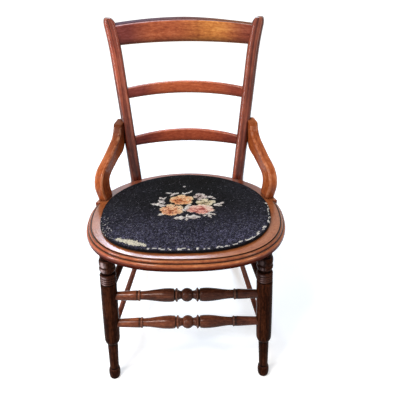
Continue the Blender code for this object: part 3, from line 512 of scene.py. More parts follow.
def mouldedProfile():
    # (inset, drop) points from the inner edge of the top, out over the moulding and back underneath
    width, arris, quirk, thick = (seat[key] for key in ("moulding", "arris", "quirk", "thickness"))
    start = (width - seat["grooveWidth"], -quirk)
    ovoloEnd = (width - seat["ovoloWidth"], -quirk - seat["ovoloDrop"])
    beadStart = (ovoloEnd[0] - seat["filletWidth"], ovoloEnd[1] - seat["filletDrop"])
    beadOut = (0, beadStart[1] - seat["beadDrop"])
    floor, lowFloor = -quirk - seat["groove"], beadStart[1] - seat["filletGroove"]
    points = [(inset, 0) for inset in np.linspace(seat["rim"], width + seat["flatEnd"], 8)]
    points += [(width + seat["arrisLead"], 0), *quarterArc((width + arris, 0), (width, -arris), 4, 0)]
    # the grooves' walls lean by a few tenths of a millimetre
    points += [(width - 0.0002, floor), (start[0] + 0.0003, floor)]
    points += [(start[0] + 0.0001, (floor + start[1]) / 2)]
    points += quarterArc(start, ovoloEnd, 11, 0)
    points += [(ovoloEnd[0] + 0.0003, lowFloor), (beadStart[0] + 0.0002, lowFloor)]
    points += quarterArc(beadStart, beadOut, 9, 0)
    points += quarterArc(beadOut, (seat["tuck"], -thick), 10, 1)[1:]
    points += [(inset, -thick) for inset in np.linspace(seat["tuck"] + seat["tuckEnd"], seat["rim"], 6)]
    return np.array(points)


def plainProfile():
    edge, thick, rim = seat["rearRound"], seat["thickness"], seat["rim"]
    points = [(inset, 0) for inset in np.linspace(rim, edge + seat["flatEnd"], 8)]
    points += quarterArc((edge, 0), (0, -edge), 7, 0)
    points += [(0, -thick * 0.35), (0, -thick * 0.65)]
    points += quarterArc((0, edge - thick), (edge, -thick), 7, 1)
    points += [(inset, -thick) for inset in np.linspace(edge + seat["flatEnd"], rim, 6)]
    return np.array(points)


# the rails' colours and painted light: how painted light and shade deepen red, green and blue, and what is
# added or taken by place
seatColour = {
    "depth": np.array((1.0, 1.4, 1.9)), "mouldingShade": 0.88, "rightTaken": 0.22,
    "leftLightGain": 0.12, "leftLightTint": np.array((0.6, 1.0, 1.2)), "leftTaken": np.array((0.26, 0.46, 0.30)),
    "leftReach": 0.4, "leftStart": 0.6, "rearFrom": 0.06, "rearReach": 0.06,
    "rearTaken": np.array((0.42, 0.55, 0.40)),
}


def seatToneAndLight(columns, shades):
    # painted shade in grooves and underneath, painted highlights on crests and painted light to the left;
    # redder right and on the left moulding, darker at the back
    def toneAndPaintedLight(points):
        shade = shadeRound(points, columns, shades)
        leftward = np.clip(-points[:, :1] / seat["halfWidth"], -1, 1)
        rearward = clipped((points[:, 1:2] - seatColour["rearFrom"]) / seatColour["rearReach"])
        moulded = np.tile(np.arange(columns) >= seat["flatColumns"], len(points) // columns)[:, None]
        level = seatColour["mouldingShade"] + seatColour["rightTaken"] * np.minimum(leftward, 0)
        shade = np.where(moulded, shade * level, shade) ** seatColour["depth"]
        shade = shade * (1 + seatColour["leftLightGain"] * leftward * seatColour["leftLightTint"])
        reddened = moulded * clipped(leftward / seatColour["leftReach"] - seatColour["leftStart"])
        shade = shade * (1 - rearward * seatColour["rearTaken"])
        return shade * (1 - reddened * seatColour["leftTaken"])
    return toneAndPaintedLight


def makeSeatFrame():
    half = 2880  # steps from the middle of the front to the middle of the back
    angles = np.linspace(-math.pi / 2, 1.5 * math.pi, 2 * half + 1)
    shape = [seat[key] for key in ("halfWidth", "front", "rear", "frontPower", "rearPower")]
    dense = ovalPoint(angles, *shape)
    walked = np.concatenate([[0], np.cumsum(np.hypot(*np.diff(dense, axis=0).T))])
    around = walked[-1]
    frontStop, rearStop = (np.interp(seat[seam], dense[:half + 1, 1], walked[:half + 1])
                           for seam in ("frontSeam", "rearSeam"))
    profiles = {"moulded": mouldedProfile(), "plain": plainProfile()}
    spans = {
        "front": (-frontStop, frontStop, "moulded", 190),
        "right": (frontStop, rearStop, "moulded", 60),
        "rear": (rearStop, around - rearStop, "plain", 150),
        "left": (around - rearStop, around - frontStop, "moulded", 60),
    }
    for name, (start, stop, kind, stations) in spans.items():
        profile, under = profiles[kind], seat[kind + "Under"]
        stops = np.linspace(start + seat["joint"], stop - seat["joint"], stations) % around
        sections = []
        for place in stops:
            edge = np.array([np.interp(place, walked, dense[:, i]) for i in (0, 1)])
            flat = edge - seatNormal(*edge) * profile[:, :1]
            sections.append(np.column_stack([flat, seat["height"] + profile[:, 1]]))
        turn = stops if name == "rear" else (stops + around / 2) % around - around / 2
        grain = [np.column_stack([profile, np.full(len(profile), along)]) for along in turn]

        def finishOf(row, column):
            return np.where(column < seat["flatColumns"], 1, np.where(column < under, 0, 2))

        woodPiece(f"{name}SeatRail", sections, grain, "moulding", f"{name}_seat_rail",
                  seatToneAndLight(len(profile), seat[kind + "Shades"]), sharp=50, plank=seat["plank"],
                  others=("flat", "dull"), finishOf=finishOf)


makeSeatFrame()
print("seat frame made")


# front legs: turned, splayed, sawn level at the floor
leg = {
    "sideInset": 0.0638, "frontInset": 0.0725, "splaySide": 0.0193, "splayFront": 0.0285, "intoSeat": 0.002,
    "neck": 0.012, "neckRadius": 0.0165, "bulb": 0.0205, "bulbGroove": 0.0016, "ring": 0.0152,
    "ringWidest": 0.40, "cove": 0.0059, "coveRadius": 0.0122, "collar": 0.0096, "collarWidest": 0.55,
    "fineRing": 0.0057, "fineRings": 3, "fineGroove": 0.0012, "beadRadius": 0.0193, "beadRoot": 0.0174,
    "beadFoot": 0.0142, "barrelTop": 0.0193, "barrelFoot": 0.0194, "barrelSwell": 0.0004, "shoulder": 0.1420,
    "ankle": 0.1255, "ankleRadius": 0.0134, "ankleLow": 0.0119, "footHeight": 0.033, "footRadius": 0.0151,
    "baseRadius": 0.0085,
    # painted highlights on the crests of the rings
    "ringsFrom": 0.317, "crestDepth": 0.0011, "crestFade": 0.0009, "glintDirection": (-0.45, -0.89),
    "glintWidth": 0.30, "glintColour": (15, 44, 115), "glintStrength": {"left": 1.0, "right": 0.4},
}


def legCentre(side, height):
    splayed = 1 - height / underside
    x = seat["halfWidth"] - leg["sideInset"] + leg["splaySide"] * splayed
    return side * x, leg["frontInset"] - seat["front"] - leg["splayFront"] * splayed


def legAxis(side, height):
    return Vector((*legCentre(side, height), height))


def legProfile(length):
    # from inside the seat down to the floor
    neck, root, foot, bead = (leg[key] for key in ("neckRadius", "beadRoot", "beadFoot", "beadRadius"))
    points = [(neck, length + leg["intoSeat"]), (neck, length - leg["neck"] * 0.5)]
    height = length - leg["neck"]
    points += ringBead(height, height - leg["bulb"], neck, bead, 19)
    height -= leg["bulb"]
    widest = height - leg["ring"] * leg["ringWidest"]
    points += quarterArc((root - leg["bulbGroove"], height), (bead, widest), 8, 0)
    height -= leg["ring"]
    points += quarterArc((bead, widest), (foot, height), 11, 1)[1:]
    points += ringBead(height, height - leg["cove"], foot, leg["coveRadius"], 11)[1:-1]
    height -= leg["cove"]
    widest = height - leg["collar"] * leg["collarWidest"]
    points += quarterArc((foot, height), (bead, widest), 9, 0)
    height -= leg["collar"]
    groove = root - leg["fineGroove"]
    points += quarterArc((bead, widest), (groove, height), 7, 1)[1:]
    for _ in range(leg["fineRings"]):
        points += ringBead(height, height - leg["fineRing"], groove, leg["barrelTop"], 11)[1:]
        height -= leg["fineRing"]
    barrelFoot, ankle = (leg["barrelFoot"], leg["shoulder"]), (leg["ankleRadius"], leg["ankle"])
    points += taper((leg["barrelTop"], height), barrelFoot, np.linspace(0.02, 1, 26), leg["barrelSwell"])
    points += quarterArc(barrelFoot, ankle, 12, 1)[1:]
    points += taper(ankle, (leg["ankleLow"], leg["footHeight"]), np.linspace(0, 1, 14)[1:])
    points += ringBead(leg["footHeight"], 0, leg["ankleLow"], leg["footRadius"], 23)[1:-1]
    return points + [(leg["baseRadius"], 0)]


def ringGlints(name, side):
    # painted highlights: the crests of the rings are painted pale towards the left of the front, where the
    # lamps' glints fall
    def toneAndPaintedLight(p):
        centreX, centreY = legCentre(side, p[:, 2])
        dx, dy = p[:, 0] - centreX, p[:, 1] - centreY
        radius = np.hypot(dx, dy)
        facing = (dx * leg["glintDirection"][0] + dy * leg["glintDirection"][1]) / radius
        off = np.arccos(np.clip(facing, -1, 1))
        crest = clipped((radius - leg["beadRadius"] + leg["crestDepth"]) / leg["crestFade"])
        crest = crest * (p[:, 2] > leg["ringsFrom"])
        wearAndHighlight = crest * np.exp(-(off / leg["glintWidth"]) ** 2) * leg["glintStrength"][name]
        return 1 + wearAndHighlight[:, None] * np.array(leg["glintColour"])
    return toneAndPaintedLight


def makeFrontLegs():
    for name, side in bothSides.items():
        base, top = legAxis(side, 0), legAxis(side, underside)
        sections, local = turnedSections(legProfile((top - base).length), base, top)
        lean = np.array((top - base).normalized())
        sections[-1] -= lean * (sections[-1][:, 2:] / lean[2])  # last ring slides along the leg to the floor
        sections[:, :, 2] = np.maximum(sections[:, :, 2], 0)
        # the rings end where rows lie far apart
        barrel = int(np.argmax(np.diff(local[:, 0, 2]) < -leg["fineRing"]))
        woodPiece(f"{name}FrontLeg", sections, local, "leg", f"{name}_front_leg",
                  ringGlints(name, side), others=("ring",),
                  finishOf=lambda row, column: (row > 0) & (row < barrel))


makeFrontLegs()
print("front legs turned")


# front stretchers: a ball between two vases; distances are from the middle
stretcher = {
    "ball": 0.0166, "waist": 0.0098, "disc": 0.0168, "discAt": 0.0252, "discWidth": 0.004,
    "discCrown": 0.0002, "discEdge": 0.0012, "groove": 0.0125, "grooveEnd": 0.0008, "vaseStart": 0.0312,
    "vaseStartRadius": 0.0146, "vase": 0.0166, "vaseAt": 0.0455, "neck": 0.0105, "neckAt": 0.113,
    "ring": 0.0134, "ringRoot": 0.0008, "ringWidth": 0.005, "cone": 0.0129, "end": 0.0106,
    "fromAxis": 0.0098,
    # height, then shade by place along the stretcher
    "upper": (0.2735, (-0.17, -0.115, -0.10, 0, 0.17), (1.8, 1.8, 0.85, 0.60, 0.65)),
    "lower": (0.187, (-0.17, -0.11, -0.05, 0, 0.05, 0.12, 0.17), (1.9, 1.9, 1.45, 0.85, 0.8, 0.8, 1.3)),
    "levelShades": ((-0.9, -0.2, 0.5, 1.0), (0.42, 0.75, 1.05, 1.25)), "shadePower": (1.0, 0.95, 0.80),
}


def stretcherHalf(halfLength):
    s = stretcher
    disc, discAt, discWidth, neckAt = (s[key] for key in ("disc", "discAt", "discWidth", "neckAt"))
    ballEdge = math.sqrt(s["ball"] ** 2 - s["waist"] ** 2)
    last = math.asin(ballEdge / s["ball"])
    points = [(s["ball"] * math.cos(a), s["ball"] * math.sin(a)) for a in np.linspace(0, last, 14)]
    points += quarterArc((s["waist"], ballEdge), (disc, discAt - discWidth / 2), 8, 1)[1:]
    points += [(disc + s["discCrown"], discAt - discWidth / 8), (disc, discAt + discWidth / 4)]
    points += [(disc - s["discEdge"], discAt + discWidth / 2), (s["groove"], discAt + discWidth)]
    points += [(s["groove"], s["vaseStart"] - s["grooveEnd"])]
    points += quarterArc((s["vaseStartRadius"], s["vaseStart"]), (s["vase"], s["vaseAt"]), 10, 0)
    for share in np.linspace(0, 1, 26)[1:]:
        full = (1 + math.cos(math.pi * share)) / 2
        points.append((mix(s["neck"], s["vase"], full), mix(s["vaseAt"], neckAt, share)))
    ring = ringBead(neckAt + s["ringWidth"], neckAt, s["cone"] - s["ringRoot"], s["ring"], 11)
    points += [(radius, 2 * neckAt + s["ringWidth"] - place) for radius, place in ring]
    coneEnd = (s["end"], halfLength - s["end"])
    points += taper((s["cone"], neckAt + s["ringWidth"]), coneEnd, np.linspace(0, 1, 8)[1:])
    return points + [(s["end"], halfLength)]


def makeFrontStretchers():
    for name in ("upper", "lower"):
        height, places, shades = stretcher[name]

        def toneAndPaintedLight(p):
            # golden brown at the left end, darker and more purple to the right; painted shade underneath and
            # painted light along the top
            level = np.interp((p[:, 2:] - height) / stretcher["vase"], *stretcher["levelShades"])
            return level * np.interp(p[:, :1], places, shades) ** np.array(stretcher["shadePower"])

        half = stretcherHalf(legAxis(1, height).x - stretcher["fromAxis"])
        profile = [*reversed(half), *((radius, -far) for radius, far in half[1:])]
        middle = (legAxis(-1, height) + legAxis(1, height)) / 2
        sections, local = turnedSections(profile, middle, middle + Vector((1, 0, 0)))
        woodPiece(f"{name}FrontStretcher", sections, local, "rod", f"{name}_front_stretcher",
                  toneAndPaintedLight)


makeFrontStretchers()
print("front stretchers turned")


# back posts: one piece from rear foot to ear
post = {
    "backHeight": 0.4187, "halfSpacing": 0.1428, "housing": 0.0055, "width": 0.0318, "depth": 0.025,
    "topDepth": 0.021, "turn": math.radians(16), "flare": 0.0421, "lean": 0.1021, "bow": 0.0056,
    "frontRound": 0.0118, "backRound": 0.003, "earCurl": 0.0065, "earCurlHeight": 0.100, "earRound": 0.021,
    "earInner": 0.45, "earOuter": 0.30, "footHalfSpacing": 0.154, "footFrontY": 0.2865, "footWidth": 0.025,
    "footDepth": 0.023, "footSweep": math.radians(21.8), "tipRound": 0.0026,
    "shadeHeights": (0.30, 0.45, 0.60, 0.72, 0.85),
    "shades": {"left": (0.5, 0.42, 0.68, 1.0, 1.05), "right": (0.45, 0.62, 0.64, 0.60, 0.50)},
    # painted highlight and shade by place round the section: outer corner, outer side, back, inner side,
    # inner corner, front
    "roundShades": ((0, 2, 4, 6, 10, 18, 21, 29, 33, 35, 37, 40, 43),
                    (1.1, 1.4, 1.0, 0.4, 0.7, 0.8, 0.8, 0.6, 0.2, 0.5, 1.8, 1.1, 1.1)),
}
backTop = seat["height"] + post["backHeight"]


def legShare(z):
    return max(0.0, 1 - z / seat["height"])


def topShare(z, reach):
    # 0 up to where the last reach below the top starts, 1 at the top
    return max(0.0, (z - backTop + reach) / reach)


def taken(share):
    # how much a quarter round has taken away at this share of it
    return 1 - math.sqrt(max(0.0, 1 - share**2))


def postX(z):
    if z > seat["height"]:
        curl = post["earCurl"] * topShare(z, post["earCurlHeight"]) ** 2
        return post["halfSpacing"] + post["flare"] * (z - seat["height"]) / post["backHeight"] + curl
    return mix(post["halfSpacing"], post["footHalfSpacing"], legShare(z))


def postFrontY(z):
    atSeat = seatEdgeY(post["halfSpacing"], 1) - post["housing"]
    rise = (z - seat["height"]) / post["backHeight"]
    if rise > 0:
        return atSeat + post["lean"] * rise - post["bow"] * rise**2
    t = legShare(z)  # below the seat the leg sweeps back in one curve
    startSlope = -post["lean"] / post["backHeight"] * seat["height"]
    endSlope = math.tan(post["footSweep"]) * seat["height"]
    travel = post["footFrontY"] - atSeat
    bend = (3 * travel - 2 * startSlope - endSlope) * t**2
    return atSeat + startSlope * t + bend + (startSlope + endSlope - 2 * travel) * t**3


def postSize(z):
    if z > seat["height"]:
        return post["width"], mix(post["depth"], post["topDepth"], (z - seat["height"]) / post["backHeight"])
    share = legShare(z)
    return mix(post["width"], post["footWidth"], share), mix(post["depth"], post["footDepth"], share)


def onPost(side, z, across, deep):
    x = postX(z) + across * math.cos(post["turn"]) + deep * math.sin(post["turn"])
    y = postFrontY(z) - across * math.sin(post["turn"]) + deep * math.cos(post["turn"])
    return Vector((side * x, y, z))


def postSection(side, z):
    width, depth = postSize(z)
    outline = roundedOutline(0, depth, post["frontRound"], post["backRound"], width / 2, 7)
    ear = taken(topShare(z, post["earRound"]))
    kept = 1 - (post["earInner"] + post["earOuter"]) * ear
    moved = (post["earInner"] - post["earOuter"]) * ear * width / 2
    inset = post["tipRound"] * taken(topShare(z, post["tipRound"]))
    across = outline[:, 0] * max(0.1, kept - 2 * inset / width) + moved
    deep = depth / 2 + (outline[:, 1] - depth / 2) * (1 - 2 * inset / depth)
    points = [onPost(side, z, a, d) for a, d in zip(across, deep)]
    return points, np.column_stack([across, deep, np.full(len(across), z)])


def makePosts():
    earStart = backTop - post["earRound"]
    heights = [*np.linspace(0, seat["height"], 44), *np.linspace(seat["height"], earStart, 60)[1:]]
    ear = np.linspace(0, math.pi / 2, 22)[1:]
    heights += [backTop - post["earRound"] * (1 - math.sin(angle)) for angle in ear]
    for name, side in bothSides.items():
        sections, grain = zip(*(postSection(side, z) for z in heights))

        def toneAndPaintedLight(p):
            # a shade by height, times painted highlights and shade round the section
            level = np.interp(p[:, 2:], post["shadeHeights"], post["shades"][name])
            return level * shadeRound(p, len(sections[0]), post["roundShades"])

        woodPiece(f"{name}BackPost", sections, grain, "red", f"{name}_back_post", toneAndPaintedLight)


makePosts()
print("back posts made")


# plain stretchers: tapered rods between the legs, each with its front and rear height, stoutness and painted
# light and shade
rod = {
    "side": {"upper": (0.2805, 0.3003, 1.25, 0.38), "lower": (0.1475, 0.1608, 1.0, 1.50)},
    "rear": (0.2285, 1.0, 1.40), "radius": 0.0075, "endRadius": 0.0062, "tenon": 0.012, "fromAxis": 0.005,
    "endEase": (0.98, 0.0005), "colour": (1.03, 0.97, 0.93),
}


def rodProfile(length):
    end, (eased, ease) = rod["endRadius"], rod["endEase"]
    foot, head = (end, rod["tenon"]), (end, length - rod["tenon"])
    points = [(end * eased, length), (end, length - ease)]
    points += taper(foot, head, np.linspace(1, 0, 33), rod["radius"] - end)
    return points + [(end, ease), (end * eased, 0)]


def addRod(name, node, start, end, stout, shade):
    profile = [(radius * stout, place) for radius, place in rodProfile((end - start).length)]
    sections, local = turnedSections(profile, start, end, 40)
    woodPiece(name, sections, local, "plainRod", node, lambda p: shade * np.array(rod["colour"]))


def makeRods():
    for name, side in bothSides.items():
        for place, (frontHeight, rearHeight, *look) in rod["side"].items():
            front = legAxis(side, frontHeight)
            rear = Vector((side * postX(rearHeight), postFrontY(rearHeight) + rod["tenon"], rearHeight))
            start = front + (rear - front).normalized() * rod["fromAxis"]
            node = f"{name}_{place}_side_stretcher"
            addRod(f"{name}{place.title()}SideStretcher", node, start, rear, *look)
    z, *look = rod["rear"]
    width, depth = postSize(z)
    tipX = postX(z) + depth / 2 * math.sin(post["turn"]) - width / 2 + rod["tenon"]
    tipY = postFrontY(z) + depth / 2 * math.cos(post["turn"])
    addRod("rearStretcher", "rear_stretcher", Vector((-tipX, tipY, z)), Vector((tipX, tipY, z)), *look)


makeRods()
print("plain stretchers made")


# back rails: bowed, let into the posts
backRails = {
    "crestRail": {
        "node": "crest_rail", "at": 0.8983, "ends": 0.0478, "middle": 0.0540, "rise": 0.0061, "thick": 0.0140,
        "slope": 0.006, "toneAndPaintedLight": (1.08, 1.18, 1.4), "cornerFrom": 0.085, "golden": (0.35, 0.95, 0.15),
    },
    "upperSlat": {
        "node": "upper_slat", "at": 0.5534, "ends": 0.0260, "middle": 0.0303, "rise": 0.0082, "thick": 0.0125,
        "slope": 0.0, "toneAndPaintedLight": (1.2, 1.2, 1.3), "cornerFrom": 0.055, "golden": (0, 0, 0),
    },
    "lowerSlat": {
        "node": "lower_slat", "at": 0.2498, "ends": 0.0228, "middle": 0.0320, "rise": 0.0054, "thick": 0.0125,
        "slope": 0.0, "toneAndPaintedLight": (0.83, 0.68, 0.77), "cornerFrom": 0.055, "golden": (0, 0, 0),
    },
}
railForm = {
    "bow": 0.036, "tenon": 0.011, "round": 0.003, "stations": 90, "tiltTaken": 0.6, "tiltReach": 0.12,
    "levelShades": ((-1, -0.9, -0.76, -0.4, 0.3, 0.8, 0.95), (0.05, 0.08, 0.5, 0.92, 0.95, 1.0, 1.4)),
    "leftCorner": np.array((0.54, 0.62, 0.24)), "rightCorner": np.array((0.42, 0.50, 0.28)),
    "reflectionLeft": np.array((0.22, 0.45, 1.8)), "reflectionRight": np.array((0.38, 0.52, 0.5)),
    "pale": np.array((1.6, 4.2, 13.0)), "leftReach": 0.06, "rightReach": 0.05, "rightLater": 0.02,
    "goldenAt": 0.075, "goldenReach": 0.060, "reflectionFrom": -0.12, "reflectionReach": 0.22, "reflectionLevel": 0.95,
    "reflectionDepth": -0.85, "paleLevels": (0.90, 0.97), "paleDepth": -0.75, "paleTaken": 0.7,
    "topColumns": (1, 14),
}


def railSections(rail):
    # also gives each point's level up the rail and its depth, both from -1 to 1
    bow, half = railForm["bow"], rail["thick"] / 2
    centreZ = seat["height"] + post["backHeight"] * rail["at"]
    width, postDepth = postSize(centreZ)
    joined = onPost(1, centreZ, 0, postDepth / 2)
    endX = joined.x - width / 2 + railForm["tenon"]
    lean = (post["lean"] - 2 * post["bow"] * rail["at"]) / post["backHeight"]
    sections, grain, places = [], [], []
    for x in np.linspace(-endX, endX, railForm["stations"]):
        toPost = (x / joined.x) ** 2
        back = np.array((2 * bow * x / joined.x**2, 1, 0))
        back /= np.linalg.norm(back)
        height = mix(rail["middle"], rail["ends"], toPost)
        centre = centreZ + rail["rise"] * (1 - toPost)
        outline = roundedOutline(-half, half, railForm["round"], railForm["round"], height / 2, 6)
        level, depth = outline[:, 0] / height * 2, outline[:, 1] / half
        # the crest's top faces a little forward, less at the right
        tilted = 1 - railForm["tiltTaken"] * clipped(x / railForm["tiltReach"])
        tilt = rail["slope"] * tilted * (depth + 1) / 2
        z = centre + outline[:, 0] + tilt * clipped(level * 8 - 7)
        y = joined.y + bow * (1 - toPost) + lean * (z - centreZ)
        line = np.column_stack([np.full(len(z), x), y, z])
        sections.append(line + back * outline[:, 1:])
        grain.append(np.column_stack([outline, np.full(len(z), x)]))
        places.append(np.column_stack([level, depth]))
    return sections, grain, np.reshape(places, (-1, 2))


def makeRails():
    for name, rail in backRails.items():
        sections, grain, places = railSections(rail)
        level, depth = places[:, :1], places[:, 1:]
        crest, start = name == "crestRail", rail["cornerFrom"]

        def toneAndPaintedLight(p):
            # painted light along the top, painted shade along the foot, purple-brown painted shade in the
            # corners by the posts
            x = p[:, :1]
            corner = clipped((-x - start) / railForm["leftReach"]) * railForm["leftCorner"]
            right = clipped((x - start - railForm["rightLater"]) / railForm["rightReach"])
            corner = corner + right * railForm["rightCorner"]
            golden = np.exp(-((x - railForm["goldenAt"]) / railForm["goldenReach"]) ** 2)
            golden = golden * np.array(rail["golden"])
            shade = np.interp(level, *railForm["levelShades"])
            colour = np.array(rail["toneAndPaintedLight"]) * shade * (1 - corner) * (1 + golden)
            if not crest:
                return colour
            # the crest's top is painted a purple grey as a painted reflection, with a painted highlight line
            # along its front
            rightward = clipped((x - railForm["reflectionFrom"]) / railForm["reflectionReach"])
            topReflection = railForm["reflectionLeft"] * (1 - rightward) + railForm["reflectionRight"] * rightward
            onTop = (level > railForm["reflectionLevel"]) & (depth > railForm["reflectionDepth"])
            low, high = railForm["paleLevels"]
            inFront = (level > low) & (level < high) & (depth < railForm["paleDepth"])
            pale = railForm["pale"] * (1 - railForm["paleTaken"] * rightward)
            return np.where(inFront, pale, np.where(onTop, topReflection, colour))

        def finishOf(row, column):
            return (column > railForm["topColumns"][0]) & (column < railForm["topColumns"][1])

        woodPiece(name, sections, grain, "warm", rail["node"], toneAndPaintedLight,
                  others=("dull",) if crest else (), finishOf=finishOf if crest else None)


makeRails()
print("back rails made")


# hip rests: outlines as shares of the reach to the post and of the rise
rest = {
    "footY": 0.075, "edgeMargin": 0.001, "thickness": 0.0238, "rise": 0.160, "joinHeight": 0.130,
    "lap": 0.0025, "round": 0.006, "endRound": 0.0022, "steps": 14, "endSteps": 6, "dullRows": 9,
    "shadeHeights": (0.42, 0.47, 0.52, 0.56, 0.59), "shadePower": (1.0, 1.05, 0.75),
    "tint": (1.06, 1.13, 0.86),
    "shades": {"left": (0.85, 1.05, 0.95, 0.42, 0.24), "right": (0.85, 1.05, 1.05, 0.9, 0.8)},
    "front": ((-0.14, 0), (-0.235, 0.29), (-0.10, 0.505), (0.33, 0.65), (0.76, 0.82), (0.91, 1)),
    "rear": ((0.175, 0), (0.125, 0.225), (0.21, 0.352), (0.60, 0.465), (0.985, 0.575), (1.176, 1.035)),
}


def restPlane(side):
    footX = seatEdgeX(rest["footY"]) - rest["edgeMargin"] - rest["thickness"] / 2
    foot = Vector((side * footX, rest["footY"], seat["height"]))
    z = seat["height"] + rest["joinHeight"]
    width, depth = postSize(z)
    joined = onPost(side, z, width / 2 + rest["thickness"] / 2 - rest["lap"], depth / 2)
    reach = Vector((joined.x - foot.x, joined.y - foot.y, 0))
    return foot, reach.normalized(), reach.length


def makeHipRests():
    edges = list(zip(*(smoothThrough(rest[key], rest["steps"]) for key in ("front", "rear"))))
    easing = np.linspace(0, math.pi / 2, rest["endSteps"])
    for name, side in bothSides.items():
        foot, toward, reach = restPlane(side)
        outward = np.array((toward.y, -toward.x, 0))
        spine, along, before = [], 0.0, None
        for pair in edges:
            near, far = (np.array(foot) + np.array(toward) * (s * reach) + np.array((0, 0, h * rest["rise"]))
                         for s, h in pair)
            middle, half = (near + far) / 2, np.linalg.norm(far - near) / 2
            along += 0 if before is None else np.linalg.norm(middle - before)
            before = middle
            spine.append((middle, (far - near) / (2 * half), half, along, 0.0))
        middle, chord, half, along, _ = spine.pop()
        path = middle - spine[-1][0]
        path /= np.linalg.norm(path)
        for angle in easing:  # the upper end is eased with a small round
            back, inset = rest["endRound"] * (1 - math.sin(angle)), rest["endRound"] * (1 - math.cos(angle))
            spine.append((middle - path * back, chord, half, along - back, inset))
        sections, grain = [], []
        for middle, chord, half, along, inset in spine:
            thick, radius = rest["thickness"] / 2 - inset, rest["round"] - inset
            outline = roundedOutline(-thick, thick, radius, radius, half - inset, 7)
            sections.append(middle + outline[:, :1] * chord + outline[:, 1:] * outward)
            grain.append(np.column_stack([outline, np.full(len(outline), along)]))

        def toneAndPaintedLight(p):
            # the darker the wood, the more purple
            shade = np.interp(p[:, 2:], rest["shadeHeights"], rest["shades"][name])
            return shade ** np.array(rest["shadePower"]) * np.array(rest["tint"])

        woodPiece(f"{name}HipRest", sections, grain, "rest", f"{name}_hip_rest", toneAndPaintedLight,
                  others=("dull",), finishOf=lambda row, column: row >= len(spine) - rest["dullRows"])


makeHipRests()
print("hip rests made")


# pad: stuffed top under a needlepoint cover, edge turned under the board
pad = {
    "sideMargin": 0.0365, "frontMargin": 0.0315, "rearMargin": 0.026, "frontPower": 2.4, "rearPower": 2.0,
    "frontPowerLeft": 2.75, "lipBottom": 0.0004, "lip": 0.012, "wallTop": 0.0050, "shoulder": 0.0034,
    "edgeTop": 0.0082, "crownTop": 0.0122, "insideBoard": 0.0045, "cells": 72, "evenings": 30,
    "wallMiddle": 0.55, "wallFoot": (0.0002, 0.0022), "footRound": 0.0010, "shadeUnderStitches": 0.6,
    "pressure": 4.0, "frames": 20, "mostMove": 0.0042, "lumps": 0.0005,
    # waves of the lumps: how close, then where they start
    "broadX": (61, 1.3), "broadY": (53, 0.4), "fineWave": (118, 97, 2.1), "fineShare": 0.6,
}
padHalf = seat["halfWidth"] - pad["sideMargin"]
padFront = seat["front"] - pad["frontMargin"]
padRear = seat["rear"] - pad["rearMargin"]


def padPower(x):
    # worn looser on its left, the cover lies squarer in that front corner
    return np.where(x < 0, pad["frontPowerLeft"], pad["frontPower"])


def padOval(angle, inset):
    return ovalPoint(angle, padHalf - inset, padFront - inset, padRear - inset, padPower(np.cos(angle)),
                     pad["rearPower"])


def padMesh():
    # square grid drawn to the oval, then rings down the edge and under, closed inside the board
    count = pad["cells"] + 1
    u, v = np.meshgrid(np.linspace(-1, 1, count), np.linspace(-1, 1, count), indexing="ij")
    sideways = np.abs(u) >= np.abs(v)
    more, less = np.where(sideways, u, v), np.where(sideways, v, u)
    turn = math.pi / 4 * less / np.where(more == 0, 1, more)
    angle = np.where(sideways, turn, math.pi / 2 - turn)
    angle = np.where(more < 0, angle + math.pi, angle)
    flat = padOval(angle, pad["shoulder"]) * np.abs(more)[..., None]
    for _ in range(pad["evenings"]):  # evens out the grid's diagonals
        flat[1:-1, 1:-1] = (flat[:-2, 1:-1] + flat[2:, 1:-1] + flat[1:-1, :-2] + flat[1:-1, 2:]) / 4
    share = np.hypot(flat[..., 0] / padHalf, flat[..., 1] / padRear)
    top = seat["height"] + mix(pad["edgeTop"], pad["crownTop"], 1 - np.minimum(share, 1) ** 2)
    top[0], top[-1], top[:, 0], top[:, -1] = [seat["height"] + pad["edgeTop"]] * 4
    points = [np.dstack([flat, top]).reshape(-1, 3)]
    index = np.arange(count * count).reshape(count, count)
    corners = (index[:-1, :-1], index[1:, :-1], index[1:, 1:], index[:-1, 1:])
    faces = np.stack(corners, -1).reshape(-1, 4).tolist()
    border = np.concatenate([index[:-1, 0], index[-1, :-1], index[:0:-1, -1], index[0, :0:-1]])
    bottom, lip = pad["lipBottom"], pad["lip"]
    steps = quarterArc((pad["shoulder"], pad["edgeTop"]), (0, pad["wallTop"]), 5, 0)[1:]
    steps += [(0.0, pad["wallTop"] * pad["wallMiddle"]), pad["wallFoot"], (pad["footRound"], bottom)]
    steps += [(lip * 0.5, bottom), (lip, bottom), (lip, pad["insideBoard"])]
    ring, used = border, count * count
    for inset, height in steps:
        line = padOval(angle.ravel()[border], inset)
        points.append(np.column_stack([line, np.full(len(border), seat["height"] + height)]))
        fresh = np.arange(used, used + len(border))
        used += len(border)
        faces += np.stack([ring, fresh, np.roll(fresh, -1), np.roll(ring, -1)], -1).tolist()
        ring = fresh
    mesh = newMesh("seatPad", np.concatenate(points), faces)
    faceOutward(mesh)
    return mesh, index[1:-1, 1:-1].ravel()


